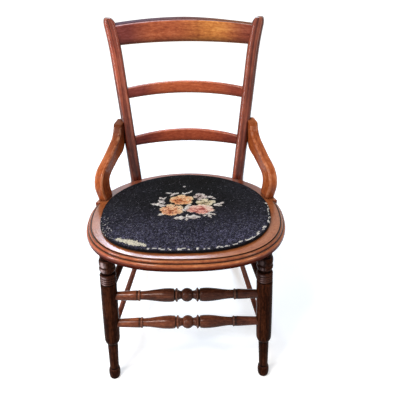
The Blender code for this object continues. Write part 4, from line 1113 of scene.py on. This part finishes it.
def swellPad(piece, free):
    # pressure lifts the stuffed top while the edge stays on the board
    mesh = piece.data
    held = piece.vertex_groups.new(name="held")
    fixed = np.setdiff1d(np.arange(len(mesh.vertices)), free)
    held.add([int(i) for i in fixed], 1.0, "REPLACE")
    cloth = piece.modifiers.new("stuffing", "CLOTH")
    cloth.settings.vertex_group_mass = "held"
    cloth.settings.quality = 6
    cloth.settings.use_pressure = True
    cloth.settings.uniform_pressure_force = pad["pressure"]
    cloth.settings.effector_weights.gravity = 0
    for number in range(1, pad["frames"] + 1):
        scene.frame_set(number)
    after = readAll(piece.evaluated_get(bpy.context.evaluated_depsgraph_get()).data.vertices, "co")
    piece.modifiers.remove(cloth)
    piece.vertex_groups.remove(held)
    scene.frame_set(1)
    before = readAll(mesh.vertices, "co")
    step = after - before
    size = np.maximum(np.linalg.norm(step, axis=1, keepdims=True), 1e-9)
    step *= pad["mostMove"] * np.tanh(size / pad["mostMove"]) / size
    mesh.vertices.foreach_set("co", (before + step).ravel())
    print("pad swelled by", round(float(step[:, 2].max()) * 1000, 2), "mm")


def lumpPad(mesh, free):
    x, y, _ = np.array([mesh.vertices[int(i)].co for i in free]).T
    (rateX, startX), (rateY, startY) = pad["broadX"], pad["broadY"]
    fineX, fineY, fineStart = pad["fineWave"]
    lump = np.sin(x * rateX + startX) * np.sin(y * rateY + startY)
    lump = lump + pad["fineShare"] * np.sin(x * fineX + y * fineY + fineStart)
    for i, rise in zip(free, lump * pad["lumps"]):
        mesh.vertices[int(i)].co.z += rise
    mesh.update()


# wool colours, in screen values; the flowers are a plain bouquet of roses and leaves, sizes in millimetres
wool = {
    # the ground is painted lighter and bluer towards the front and sides, as light and sheen
    "groundBack": paint(16, 16, 17), "groundFront": paint(48, 47, 62), "groundSide": paint(34, 34, 41),
    "canvas": paint(248, 244, 236), "bare": paint(232, 226, 204), "speckle": paint(128, 127, 138),
    "amber": [paint(148, 72, 44), paint(224, 142, 90), paint(243, 184, 132), paint(248, 220, 178)],
    "peach": [paint(150, 80, 54), paint(222, 146, 106), paint(240, 184, 140), paint(248, 220, 182)],
    "pink": [paint(168, 74, 70), paint(228, 146, 132), paint(244, 194, 176), paint(250, 228, 212)],
    "cream": [paint(120, 104, 76), paint(200, 184, 144), paint(228, 212, 176), paint(240, 230, 204)],
    "lilac": [paint(80, 64, 62), paint(180, 160, 152), paint(218, 202, 194), paint(238, 228, 220)],
    "leaf": [paint(60, 54, 52), paint(176, 164, 158), paint(224, 214, 208), paint(244, 240, 232)],
    # tint, place, half width, half depth, turn, petals in the outer ring
    "roses": (
        ("lilac", 36, 51, 16, 16, 0.9, 5), ("cream", 47, 17, 23, 18, 0.3, 5),
        ("amber", -16, 33, 30, 23, 0.4, 6), ("peach", -37, -17, 28, 24, 1.7, 6),
        ("pink", 39, -11, 33, 20, 2.6, 6),
    ),
    # distance from the heart, size and number taken off for each ring of petals, outer ring first
    "rings": ((0.68, 0.39, 0), (0.42, 0.34, 1), (0.18, 0.25, 3)),
    # place, half length, half width, turn
    "leaves": (
        (-74, 13, 16, 6, 2.95), (-63, 25, 14, 6, 2.4), (-60, 6, 10, 5, 3.4), (-66, 44, 7, 4, 2.2),
        (-57, 40, 9, 3, 1.1), (-46, 70, 10, 3, -0.2), (-30, 65, 12, 4, 0.3), (-38, 58, 8, 3, 0.9),
        (2, 67, 10, 3, 0.5), (12, 75, 7, 3, 0.9), (-7, 64, 7, 3, 2.0), (62, 46, 9, 6, 0.2),
        (71, 39, 6, 3, -0.4), (78, 8, 13, 5, 0.5), (91, 16, 9, 4, 0.7), (84, 3, 9, 3, 0.0),
        (-14, -51, 17, 7, 0.1), (18, -48, 20, 8, 0.05), (2, -57, 7, 3, 1.3), (3, -42, 8, 3, 1.6),
        (2, -6, 14, 6, 1.5), (-5, -16, 8, 4, 2.2), (8, 9, 7, 3, 0.6), (57, -33, 12, 4, -0.1),
        (67, -36, 7, 3, -0.4), (57, -43, 9, 4, -1.1),
        (46, -39, 7, 3, -2.2), (-60, -33, 10, 5, 0.5), (-6, 104, 4, 4, 0.2),
    ),
    "patch": ((-154, -127), (-91, -151)), "patchWidth": 6.5,
    "wearAt": (118, 165), "wearReach": 18, "clump": 4.6, "speckLong": 5.2, "speckDeep": 3.2, "edgeShade": 7,
    "frontLitFrom": 10, "frontLitReach": 130, "asideFrom": 60, "asideReach": 110,
    # worn places near the edge: least and most x, least and most y
    "wornFront": (-85, 250, -250, -60), "wornRight": (95, 250, -250, -35), "wornSide": (175, 250, -80, 25),
    "wornLeft": (-250, -140, -125, -30), "wornLeftGap": 20,
    # the thread itself
    "fuzz": 900, "fuzzFrom": (0.3, 0.7), "fuzzShades": (0.7, 1.25), "fibres": 2600, "bump": (0.5, 0.0003),
}


def scatter(column, row):
    # an even spread of numbers from 0 to 1, the same every time for one column and row
    return np.modf(np.abs(np.sin(column * 12.9898 + row * 78.233) * 43758.5453))[0]


def within(x, y, box):
    return (x > box[0]) & (x < box[1]) & (y > box[2]) & (y < box[3])


def turnedBy(dx, dy, angle):
    return dx * math.cos(angle) + dy * math.sin(angle), dy * math.cos(angle) - dx * math.sin(angle)


# how leaves and roses are drawn; shades run from 0, dark, to 3, light
leafForm = {
    "pointed": 1.6, "wave": 0.25, "waves": 8, "light": 2.8, "across": 0.9, "along": 0.6, "alongWaves": 7,
    "grainy": 1.4, "veinAt": -0.15, "veinHalf": 0.13, "veinDark": 1.4,
}
roseForm = {
    "ringTurn": 0.9, "uneven": 0.16, "unevenRates": (7.3, 3.1, 5), "wide": 1.08, "frill": 0.22,
    "frills": 9, "frillStep": 4, "lit": 0.65, "litFrom": 0.6, "rimDark": 1.5, "rimFrom": 0.68,
    "rimInside": 0.2, "light": 2.0, "outward": 1.7, "grainy": 1.2, "ringDark": 0.25, "missed": 0.05,
    "heartAt": (0.10, -0.05), "heart": 0.13,
}


def drawLeaf(colour, x, y, dice, leaf):
    form = leafForm
    px, py, length, width, turn = leaf
    along, across = turnedBy(x - px, y - py, turn)
    along, across = along / length, across / width
    wavy = 1 + form["wave"] * np.cos(along * form["waves"] + px)
    inside = np.abs(across) < (1 - np.abs(along) ** form["pointed"]) * wavy
    shade = form["light"] + across * form["across"] + form["along"] * np.cos(along * form["alongWaves"] + py)
    shade = shade + (dice[:, 3] - 0.5) * form["grainy"]
    onVein = np.abs(across - form["veinAt"]) < form["veinHalf"]
    shade = np.clip(np.where(onVein, shade - form["veinDark"], shade), 0, 3).astype(int)
    return np.where(inside[:, None], np.array(wool["leaf"])[shade], colour)


def drawRose(colour, x, y, dice, rose):
    # petals are laid ring over ring, each light at its rim and dark where it comes out from under the next
    tint, px, py, halfWidth, halfDepth, turn, petals = rose
    dx, dy = (x - px) / halfWidth, (y - py) / halfDepth
    form, shades = roseForm, np.array(wool[tint])
    perPetal, perRing, perTurn = form["unevenRates"]
    for ring, (out, size, fewer) in enumerate(wool["rings"]):
        for k in range(petals - fewer):
            angle = turn + ring * form["ringTurn"] + math.tau * k / (petals - fewer)
            uneven = 1 + form["uneven"] * math.sin(perPetal * k + perRing * ring + perTurn * turn)
            cx, cy = out * uneven * math.cos(angle), out * uneven * math.sin(angle)
            outward, sideways = turnedBy(dx - cx, dy - cy, angle)
            outward, sideways = outward / (size * uneven), sideways / (size * form["wide"])
            frill = form["frill"] * np.sin(form["frills"] * sideways + form["frillStep"] * k)
            far = (outward**2 + sideways**2) * (1 + frill * (outward > 0))
            lit = form["lit"] * math.sin(angle + form["litFrom"])
            rim = form["rimDark"] * (far > form["rimFrom"]) * (outward < form["rimInside"])
            shade = form["light"] + form["outward"] * outward + lit - rim
            shade = shade + (dice[:, 3] - 0.5) * form["grainy"] - form["ringDark"] * ring
            kept = (far < 1) & (dice[:, 1] > form["missed"])
            colour = np.where(kept[:, None], shades[np.clip(shade, 0, 3).astype(int)], colour)
    heartX, heartY = form["heartAt"]
    inHeart = np.hypot(dx - heartX, dy - heartY) < form["heart"]
    return np.where(inHeart[:, None], shades[0], colour)


def woolGround(x, y, edgeGap, dice):
    # near black behind, painted lighter and bluer in front and at the sides as light and sheen, uneven in
    # front, painted shade along the edge
    frontLit = clipped((wool["frontLitFrom"] - y) / wool["frontLitReach"])[:, None]
    aside = clipped((np.abs(x) - wool["asideFrom"]) / wool["asideReach"])[:, None]
    drift = 1 + 0.22 * np.sin(x / 37 + 1.0 + np.sin(y / 29)) * np.sin(y / 43 + 0.6)
    colour = mix(wool["groundBack"], wool["groundSide"], np.maximum(aside, frontLit))
    colour = mix(colour, wool["groundFront"], frontLit)
    clump = scatter(np.floor(x / wool["clump"]), np.floor(y / wool["clump"]))[:, None]
    uneven = (0.9 + 0.7 * frontLit) * (dice[:, :1] - 0.5) * 2 + 1.2 * (clump - 0.5)
    colour = colour * drift[:, None] * np.exp(uneven - 0.08)
    thin = dice[:, 1] < 0.012 + 0.09 * frontLit[:, 0] + 0.02 * aside[:, 0]
    colour = np.where(thin[:, None], wool["speckle"] * (0.25 + 0.9 * dice[:, 2:3] ** 2), colour)
    return colour * np.clip(0.12 + edgeGap / wool["edgeShade"], 0.12, 1)[:, None]


def woolWear(colour, x, y, edgeGap, dice):
    # a bare patch at the left of the front edge, then broken specks along the front and right edges
    (ax, ay), (bx, by) = wool["patch"]
    share = clipped(((x - ax) * (bx - ax) + (y - ay) * (by - ay)) / ((bx - ax) ** 2 + (by - ay) ** 2))
    off = np.hypot(x - mix(ax, bx, share), y - mix(ay, by, share))
    full = np.sqrt(np.sin(math.pi * np.clip(share, 0.02, 0.98) ** 1.3))
    ragged = 0.35 + 0.75 * full + 0.22 * np.sin(x / 6.5 + 1)
    gone = (off < wool["patchWidth"] * (ragged + 0.6 * (dice[:, 2] - 0.5))) & (dice[:, 1] < 0.93)
    colour = np.where(gone[:, None], wool["bare"] * (0.80 + 0.30 * dice[:, 2:3]), colour)
    walk = np.arctan2(y, x) * 190  # millimetres round the edge
    ring = np.floor(edgeGap / wool["speckDeep"])
    broken = scatter(np.floor(walk / wool["speckLong"]), ring) + 0.10 * np.sin(walk / 13 + 0.5)
    dense = sum(np.exp(-((x - place) / wool["wearReach"]) ** 2) for place in wool["wearAt"])
    front = within(x, y, wool["wornFront"]) & (ring == 1) & (broken > 0.62)
    inner = within(x, y, wool["wornFront"]) & (ring == 2) & (broken > 0.78)
    right = within(x, y, wool["wornRight"]) & (ring > 0) & (ring < 3) & (broken > 0.80 - 0.36 * dense)
    rightSide = within(x, y, wool["wornSide"]) & (ring < 2) & (broken > 0.58)
    left = within(x, y, wool["wornLeft"]) & (edgeGap < wool["wornLeftGap"]) & (dice[:, 1] < 0.06)
    worn = (front | inner | right | rightSide | left) & (dice[:, 3] < 0.93)
    return np.where(worn[:, None], wool["canvas"] * (0.72 + 0.4 * dice[:, 2:3]), colour)


def edgeGapOf(x, y):
    # distance inwards from the pad's edge, in millimetres, near enough for colour
    depth = np.where(y > 0, padRear, padFront) * 1000
    power = np.where(y > 0, pad["rearPower"], padPower(x))
    share = (np.abs(x / (padHalf * 1000)) ** power + np.abs(y / depth) ** power) ** (1 / power)
    return (1 - share) * np.hypot(x, y) / np.maximum(share, 1e-6)


def woolColours(places, shadeScale=1.0):
    # one colour for each place on the pad; dice is random numbers, one row a place
    x, y = places[:, 0] * 1000, (places[:, 1] - seatY) * 1000
    edgeGap, dice = edgeGapOf(x, y), rng.random((len(x), 4))
    colour = woolGround(x, y, edgeGap, dice)
    for leaf in wool["leaves"]:
        colour = drawLeaf(colour, x, y, dice, leaf)
    for rose in wool["roses"]:
        colour = drawRose(colour, x, y, dice, rose)
    colour = woolWear(colour, x, y, edgeGap, dice) * shadeScale
    return np.column_stack([colour, np.ones(len(colour))])


def woolMaterial(name, shadeScale):
    material, tree = newMaterial(name)
    place = objectPlace(tree)
    fuzz = noise(place, scale=wool["fuzz"], detail=3, roughness=0.7)
    fuzz = spread(fuzz, *wool["fuzzFrom"], *(shadeScale * shade for shade in wool["fuzzShades"]))
    colour = blend(1.0, attribute(tree, "wool", "Color"), fuzz, "MULTIPLY")
    fibres = noise(place, scale=wool["fibres"], detail=2)
    finishMaterial(tree, {
        "Base Color": colour, "Roughness": 0.9, "Normal": bumped(fibres, *wool["bump"]),
        "Specular IOR Level": 0.05, "Sheen Weight": 0.03, "Sheen Roughness": 0.5,
    })
    return material


def makePad():
    mesh, free = padMesh()
    piece = newPiece("seatPad", mesh)
    swellPad(piece, free)
    lumpPad(mesh, free)
    soften = piece.modifiers.new("soften", "SUBSURF")
    soften.levels = soften.render_levels = 1
    smooth = appliedMesh(piece)
    piece.modifiers.clear()
    piece.data = smooth
    faceOutward(smooth, close=True)
    smooth.shade_smooth()
    # the cover under the stitches is painted darker, as shade between the stitches
    colour = woolColours(readAll(smooth.vertices, "co"), pad["shadeUnderStitches"])
    storeAttribute(smooth, "wool", "FLOAT_COLOR", colour)
    smooth.materials.append(woolMaterial("padCoverWool", 0.9))
    joinRoot(piece, ["needlepoint_cover", "pad_stuffing"])
    return piece


seatPad = makePad()
print("pad made:", len(seatPad.data.polygons), "faces")


# geometry nodes that lay one shape on many points, each upright along the point's own up

def randomValue(given, low, high):
    tree = given["Seed"].id_data
    inputs = {2: low, 3: high, "Seed": given["Seed"]}
    return addNode(tree, "FunctionNodeRandomValue", inputs, data_type="FLOAT").outputs[1]


def layShapes(name, points, attributes, settings, shapeOf, spinOf, scaleOf, material):
    # settings are the tree's named inputs; shapeOf, spinOf and scaleOf get the tree and those inputs
    tree = bpy.data.node_groups.new(name, "GeometryNodeTree")
    face = tree.interface
    face.new_socket("Geometry", in_out="INPUT", socket_type="NodeSocketGeometry")
    identifiers = {}
    for label, value in settings.items():
        kind = "NodeSocketInt" if isinstance(value, int) else "NodeSocketFloat"
        identifiers[label] = face.new_socket(label, in_out="INPUT", socket_type=kind).identifier
    face.new_socket("Geometry", in_out="OUTPUT", socket_type="NodeSocketGeometry")
    given = addNode(tree, "NodeGroupInput").outputs
    up = addNode(tree, "GeometryNodeInputNamedAttribute", {"Name": "up"}, data_type="FLOAT_VECTOR")
    upright = addNode(tree, "FunctionNodeAlignRotationToVector", {"Vector": up.outputs[0]}, axis="Z")
    spin = addNode(tree, "FunctionNodeAxisAngleToRotation", {"Axis": (0, 0, 1), "Angle": spinOf(tree, given)})
    turned = addNode(tree, "FunctionNodeRotateRotation",
                     {"Rotation": upright.outputs[0], "Rotate By": spin.outputs[0]}, rotation_space="LOCAL")
    spots = addNode(tree, "GeometryNodeMeshToPoints", {"Mesh": given["Geometry"]})
    laid = addNode(tree, "GeometryNodeInstanceOnPoints", {
        "Points": spots.outputs[0], "Instance": shapeOf(tree, given), "Rotation": turned.outputs[0],
        "Scale": scaleOf(tree, given),
    })
    real = addNode(tree, "GeometryNodeRealizeInstances", {"Geometry": laid.outputs[0]})
    dressed = addNode(tree, "GeometryNodeSetMaterial", {"Geometry": real.outputs[0], "Material": material})
    addNode(tree, "NodeGroupOutput", {0: dressed.outputs[0]})

    mesh = bpy.data.meshes.new(name + "Points")
    mesh.from_pydata(np.asarray(points).tolist(), [], [])
    for key, (kind, values) in attributes.items():
        storeAttribute(mesh, key, kind, values)
    holder = newPiece(name + "Points", mesh)
    nodes = holder.modifiers.new(name, "NODES")
    nodes.node_group = tree
    for label, value in settings.items():
        nodes[identifiers[label]] = value
    laidMesh = appliedMesh(holder)
    laidMesh.name = name
    bpy.data.objects.remove(holder)
    return newPiece(name, laidMesh)


# needlepoint stitches: slanted grains of wool on a fine grid over the pad's top
stitch = {
    "inputs": {"Half length": 0.00150, "Half width": 0.00082, "Half height": 0.00050,
               "Slant": math.radians(45), "Seed": 5},
    "pitch": 0.0023, "jitter": 0.22, "sizes": (0.88, 1.10), "sway": 0.0006, "swayRates": (38, 33),
    "castFrom": 0.6, "steepest": 0.35,
}


def woolGrain(tree, given):
    grain = addNode(tree, "GeometryNodeMeshUVSphere", {"Segments": 4, "Rings": 2, "Radius": 1.0})
    halves = {0: given["Half length"], 1: given["Half width"], 2: given["Half height"]}
    size = addNode(tree, "ShaderNodeCombineXYZ", halves).outputs[0]
    grain = addNode(tree, "GeometryNodeTransform", {"Geometry": grain.outputs["Mesh"], "Scale": size})
    return addNode(tree, "GeometryNodeSetShadeSmooth", {"Geometry": grain.outputs[0]}).outputs[0]


def makeStitches():
    mesh, down = seatPad.data, Vector((0, 0, -1))
    sway, (rateX, rateY) = stitch["sway"], stitch["swayRates"]
    cover = BVHTree.FromPolygons([v.co for v in mesh.vertices], [p.vertices for p in mesh.polygons])
    reachY = max(padFront, padRear)
    places, ups = [], []
    for y in np.arange(-reachY, reachY, stitch["pitch"]):
        for x in np.arange(-padHalf, padHalf, stitch["pitch"]):
            # old canvas never lies quite square
            startX, startY = x + sway * math.sin(y * rateX + 0.7), y + sway * math.sin(x * rateY) + seatY
            hit, normal, _, _ = cover.ray_cast(Vector((startX, startY, stitch["castFrom"])), down)
            if hit is not None and normal.z > stitch["steepest"]:
                places.append(hit)
                ups.append(normal)
    places = np.array(places)
    attributes = {"up": ("FLOAT_VECTOR", ups), "wool": ("FLOAT_COLOR", woolColours(places))}
    jitter = stitch["jitter"]
    piece = layShapes(
        "needlepointStitches", places, attributes, stitch["inputs"], woolGrain,
        lambda tree, given: plus(given["Slant"], randomValue(given, -jitter, jitter)),
        lambda tree, given: randomValue(given, *stitch["sizes"]), woolMaterial("needlepointWool", 1.0))
    joinRoot(piece)
    print("stitches:", len(places), "and", len(piece.data.polygons), "faces")


makeStitches()


# slotted wood screws: every head is the same turned shape with a saw cut across it
screw = {
    "inputs": {"Size": 1.0, "Seed": 3}, "radius": 0.0042, "dome": 0.0009, "edgeDrop": 0.0005, "sunk": 0.0016,
    "slotWidth": 0.0010, "slotDepth": 0.0008, "proud": 0.0003, "sides": 28,
    "rings": (0.25, 0.5, 0.75, 0.92, 1.0), "restHeight": 0.140, "boardX": 0.070, "fromRim": 0.010,
    "rust": (0.10, 0.045, 0.02), "steel": (0.33, 0.31, 0.29), "rustFrom": (0.50, 0.66),
    "rustSize": 900, "scratch": (5000, 700, 700), "scratchFrom": (0.3, 0.7, 0.30, 0.55), "metal": (1.0, 0.2),
}


def screwSteel(name):
    material, tree = newMaterial(name)
    place = objectPlace(tree)
    rust = noise(place, scale=screw["rustSize"], detail=4, roughness=0.7)
    scratch = noise(stretched(place, *screw["scratch"]), detail=2)
    colour = blend(spread(rust, *screw["rustFrom"]), solid(screw["steel"]), solid(screw["rust"]))
    finishMaterial(tree, {
        "Base Color": colour, "Roughness": spread(scratch, *screw["scratchFrom"]),
        "Metallic": spread(rust, *screw["rustFrom"], *screw["metal"]),
    })
    return material


def screwHead():
    # built flat side down at the origin, slot along x
    sides, angles = screw["sides"], np.arange(screw["sides"]) * math.tau / screw["sides"]
    levels = [(share, screw["proud"] + screw["dome"] * (1 - share**2)) for share in screw["rings"]]
    levels[-1] = (1.0, levels[-1][1] - screw["edgeDrop"])
    bm = bmesh.new()
    rings = []
    for share, height in (*levels, (1.0, -screw["sunk"])):
        radius = screw["radius"] * share
        rings.append([bm.verts.new((radius * math.cos(a), radius * math.sin(a), height)) for a in angles])
    for low, high in zip(rings, rings[1:]):
        for i in range(sides):
            bm.faces.new((low[i - 1], low[i], high[i], high[i - 1]))
    bm.faces.new(rings[0])
    bm.faces.new(rings[-1])
    bmesh.ops.recalc_face_normals(bm, faces=bm.faces)
    mesh = bpy.data.meshes.new("screwHead")
    bm.to_mesh(mesh)
    bm.clear()
    bmesh.ops.create_cube(bm, size=1.0)
    size = Matrix.Diagonal((screw["radius"] * 3, screw["slotWidth"], screw["slotDepth"] * 2, 1))
    top = Matrix.Translation((0, 0, screw["proud"] + screw["dome"]))
    bmesh.ops.transform(bm, matrix=top @ size, verts=bm.verts)
    cutMesh = bpy.data.meshes.new("screwSlot")
    bm.to_mesh(cutMesh)
    bm.free()
    head, cutter = newPiece("screwHead", mesh), newPiece("screwSlot", cutMesh)
    sawn = head.modifiers.new("slot", "BOOLEAN")
    sawn.object = cutter
    sawn.solver = "EXACT"
    made = appliedMesh(head)
    bpy.data.objects.remove(cutter)
    head.modifiers.clear()
    head.data = made
    made.shade_smooth()
    made.set_sharp_from_angle(angle=math.radians(35))
    return head


def makeScrews():
    # each head sits where its CAD screw enters the wood
    down = Vector((0, 0, -1))
    spots, nodes = [], []
    for name, side in bothSides.items():
        z = seat["height"] - seat["thickness"] / 2
        behind, front = onPost(side, z, 0, postSize(z)[1]), onPost(side, z, 0, 0)
        spots.append((behind, (behind - front).normalized()))
        foot, toward, reach = restPlane(side)
        outward = Vector((toward.y, -toward.x, 0)) * side
        middle = (rest["front"][-1][0] + rest["rear"][-1][0]) / 2
        top = foot + toward * (reach * middle) + outward * (rest["thickness"] / 2)
        top.z = seat["height"] + screw["restHeight"]
        spots += [(top, outward), (Vector((foot.x, foot.y, underside)), down)]
        for ahead in (-1, 1):
            x = side * screw["boardX"]
            edge = np.array((x, seatEdgeY(x, ahead)))
            inner = edge - seatNormal(*edge) * (seat["rim"] - screw["fromRim"])
            spots.append((Vector((*inner, underside)), down))
        nodes += [f"{name}_post_screw", f"{name}_rest_top_screw", f"{name}_rest_foot_screw",
                  f"front_{name}_board_screw", f"rear_{name}_board_screw"]
    places = [spot + Vector((0, seatY, 0)) for spot, _ in spots]
    head = screwHead()
    piece = layShapes(
        "slottedScrews", places, {"up": ("FLOAT_VECTOR", [up for _, up in spots])}, screw["inputs"],
        lambda tree, given: addNode(tree, "GeometryNodeObjectInfo", {"Object": head}).outputs["Geometry"],
        lambda tree, given: randomValue(given, 0.0, math.pi),
        lambda tree, given: given["Size"], screwSteel("dullScrewSteel"))
    bpy.data.objects.remove(head)
    joinRoot(piece, nodes)
    print("screws:", len(places))


makeScrews()


# CAD nodes that stay: the seat board and the loose tenons
for name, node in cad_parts.items():
    if name == "seat_board" or name.startswith("seat_joint_tenon"):
        node.data.materials.clear()
        node.data.materials.append(bareBoard)


# stage: pale floor, white surroundings, a bright window behind the left shoulder and lamps in front
stage = {
    "floorRadius": 14.0, "floorColour": 0.80, "floorGlow": 0.40, "glowFrom": (0.8, 3.0), "worldLight": 0.28,
    "aim": (0.0, -0.05, 0.45),
    # place, size, power and colour
    "lamps": {
        "keyLamp": ((-0.80, -1.00, 2.45), (0.5, 0.5), 36, (1.0, 0.96, 0.92)),
        "sideLamp": ((-1.50, -0.75, 1.00), (0.26, 1.2), 18, (1.0, 0.95, 0.95)),
        "windowLamp": ((-0.29, 1.635, 2.02), (0.76, 0.55), 42, (0.62, 0.79, 1.0)),
        "fillLamp": ((1.50, -1.10, 1.30), (0.3, 1.2), 9, (1.0, 0.88, 0.74)),
    },
}


def makeFloor():
    mesh = bpy.data.meshes.new("paleFloor")
    bm = bmesh.new()
    bmesh.ops.create_circle(bm, cap_ends=True, radius=stage["floorRadius"], segments=96)
    bm.to_mesh(mesh)
    bm.free()
    material, tree = newMaterial("paleFloor")
    away = addNode(tree, "ShaderNodeVectorMath", {0: objectPlace(tree)}, operation="LENGTH").outputs["Value"]
    glow = times(seenDirectly(tree), spread(away, *stage["glowFrom"], stage["floorGlow"], 1.0))
    matte = addNode(tree, "ShaderNodeBsdfDiffuse", {"Color": solid([stage["floorColour"]] * 3)})
    light = addNode(tree, "ShaderNodeEmission", {"Color": (1, 1, 1, 1), "Strength": glow})
    finishMaterial(tree, {0: matte.outputs[0], 1: light.outputs[0]}, "ShaderNodeAddShader")
    mesh.materials.append(material)
    newPiece("paleFloor", mesh)


def makeWorld():
    world = bpy.data.worlds.new("whiteRoom")
    scene.world = world
    world.use_nodes = True
    tree = world.node_tree
    tree.nodes.clear()
    soft, white = (addNode(tree, "ShaderNodeBackground", {"Color": (1, 1, 1, 1), "Strength": strength})
                   for strength in (stage["worldLight"], 1.0))
    shades = {0: seenDirectly(tree), 1: soft.outputs[0], 2: white.outputs[0]}
    mixed = addNode(tree, "ShaderNodeMixShader", shades)
    addNode(tree, "ShaderNodeOutputWorld", {"Surface": mixed.outputs[0]})


def makeLamps():
    aim = Vector(stage["aim"])
    for name, (place, size, power, colour) in stage["lamps"].items():
        data = bpy.data.lights.new(name, "AREA")
        data.shape = "RECTANGLE"
        data.size, data.size_y = size
        data.energy = power
        data.color = colour
        made = newPiece(name, data)
        made.location = Vector(place) + Vector((0, seatY, 0))
        made.rotation_mode = "QUATERNION"
        made.rotation_quaternion = (aim - made.location).to_track_quat("-Z", "Y")


# camera: where the photograph was taken from, measured from the middle of the seat
view = {
    "at": (0.0241, -0.895, 1.000), "down": math.radians(31.214), "pan": -0.012078, "roll": 0.0076,
    "lens": 37.8, "sensor": 36,
}


def makeCamera():
    data = bpy.data.cameras.new("photoCamera")
    data.lens, data.sensor_width = view["lens"], view["sensor"]
    camera = newPiece("photoCamera", data)
    pan, down, roll = view["pan"], view["down"], view["roll"]
    right = Vector((math.cos(pan), math.sin(pan), 0))
    level = Vector((-math.sin(pan), math.cos(pan), 0))
    ahead = level * math.cos(down) - Vector((0, 0, math.sin(down)))
    up = level * math.sin(down) + Vector((0, 0, math.cos(down)))
    tipped = right * math.cos(roll) - up * math.sin(roll)
    upright = right * math.sin(roll) + up * math.cos(roll)
    turn = Matrix((tipped, upright, -ahead)).transposed().to_4x4()
    turn.translation = Vector(view["at"]) + Vector((0, seatY, 0))
    camera.matrix_world = turn
    scene.camera = camera


makeFloor()
makeWorld()
makeLamps()
makeCamera()
scene.view_settings.view_transform = "Standard"
print("stage set")
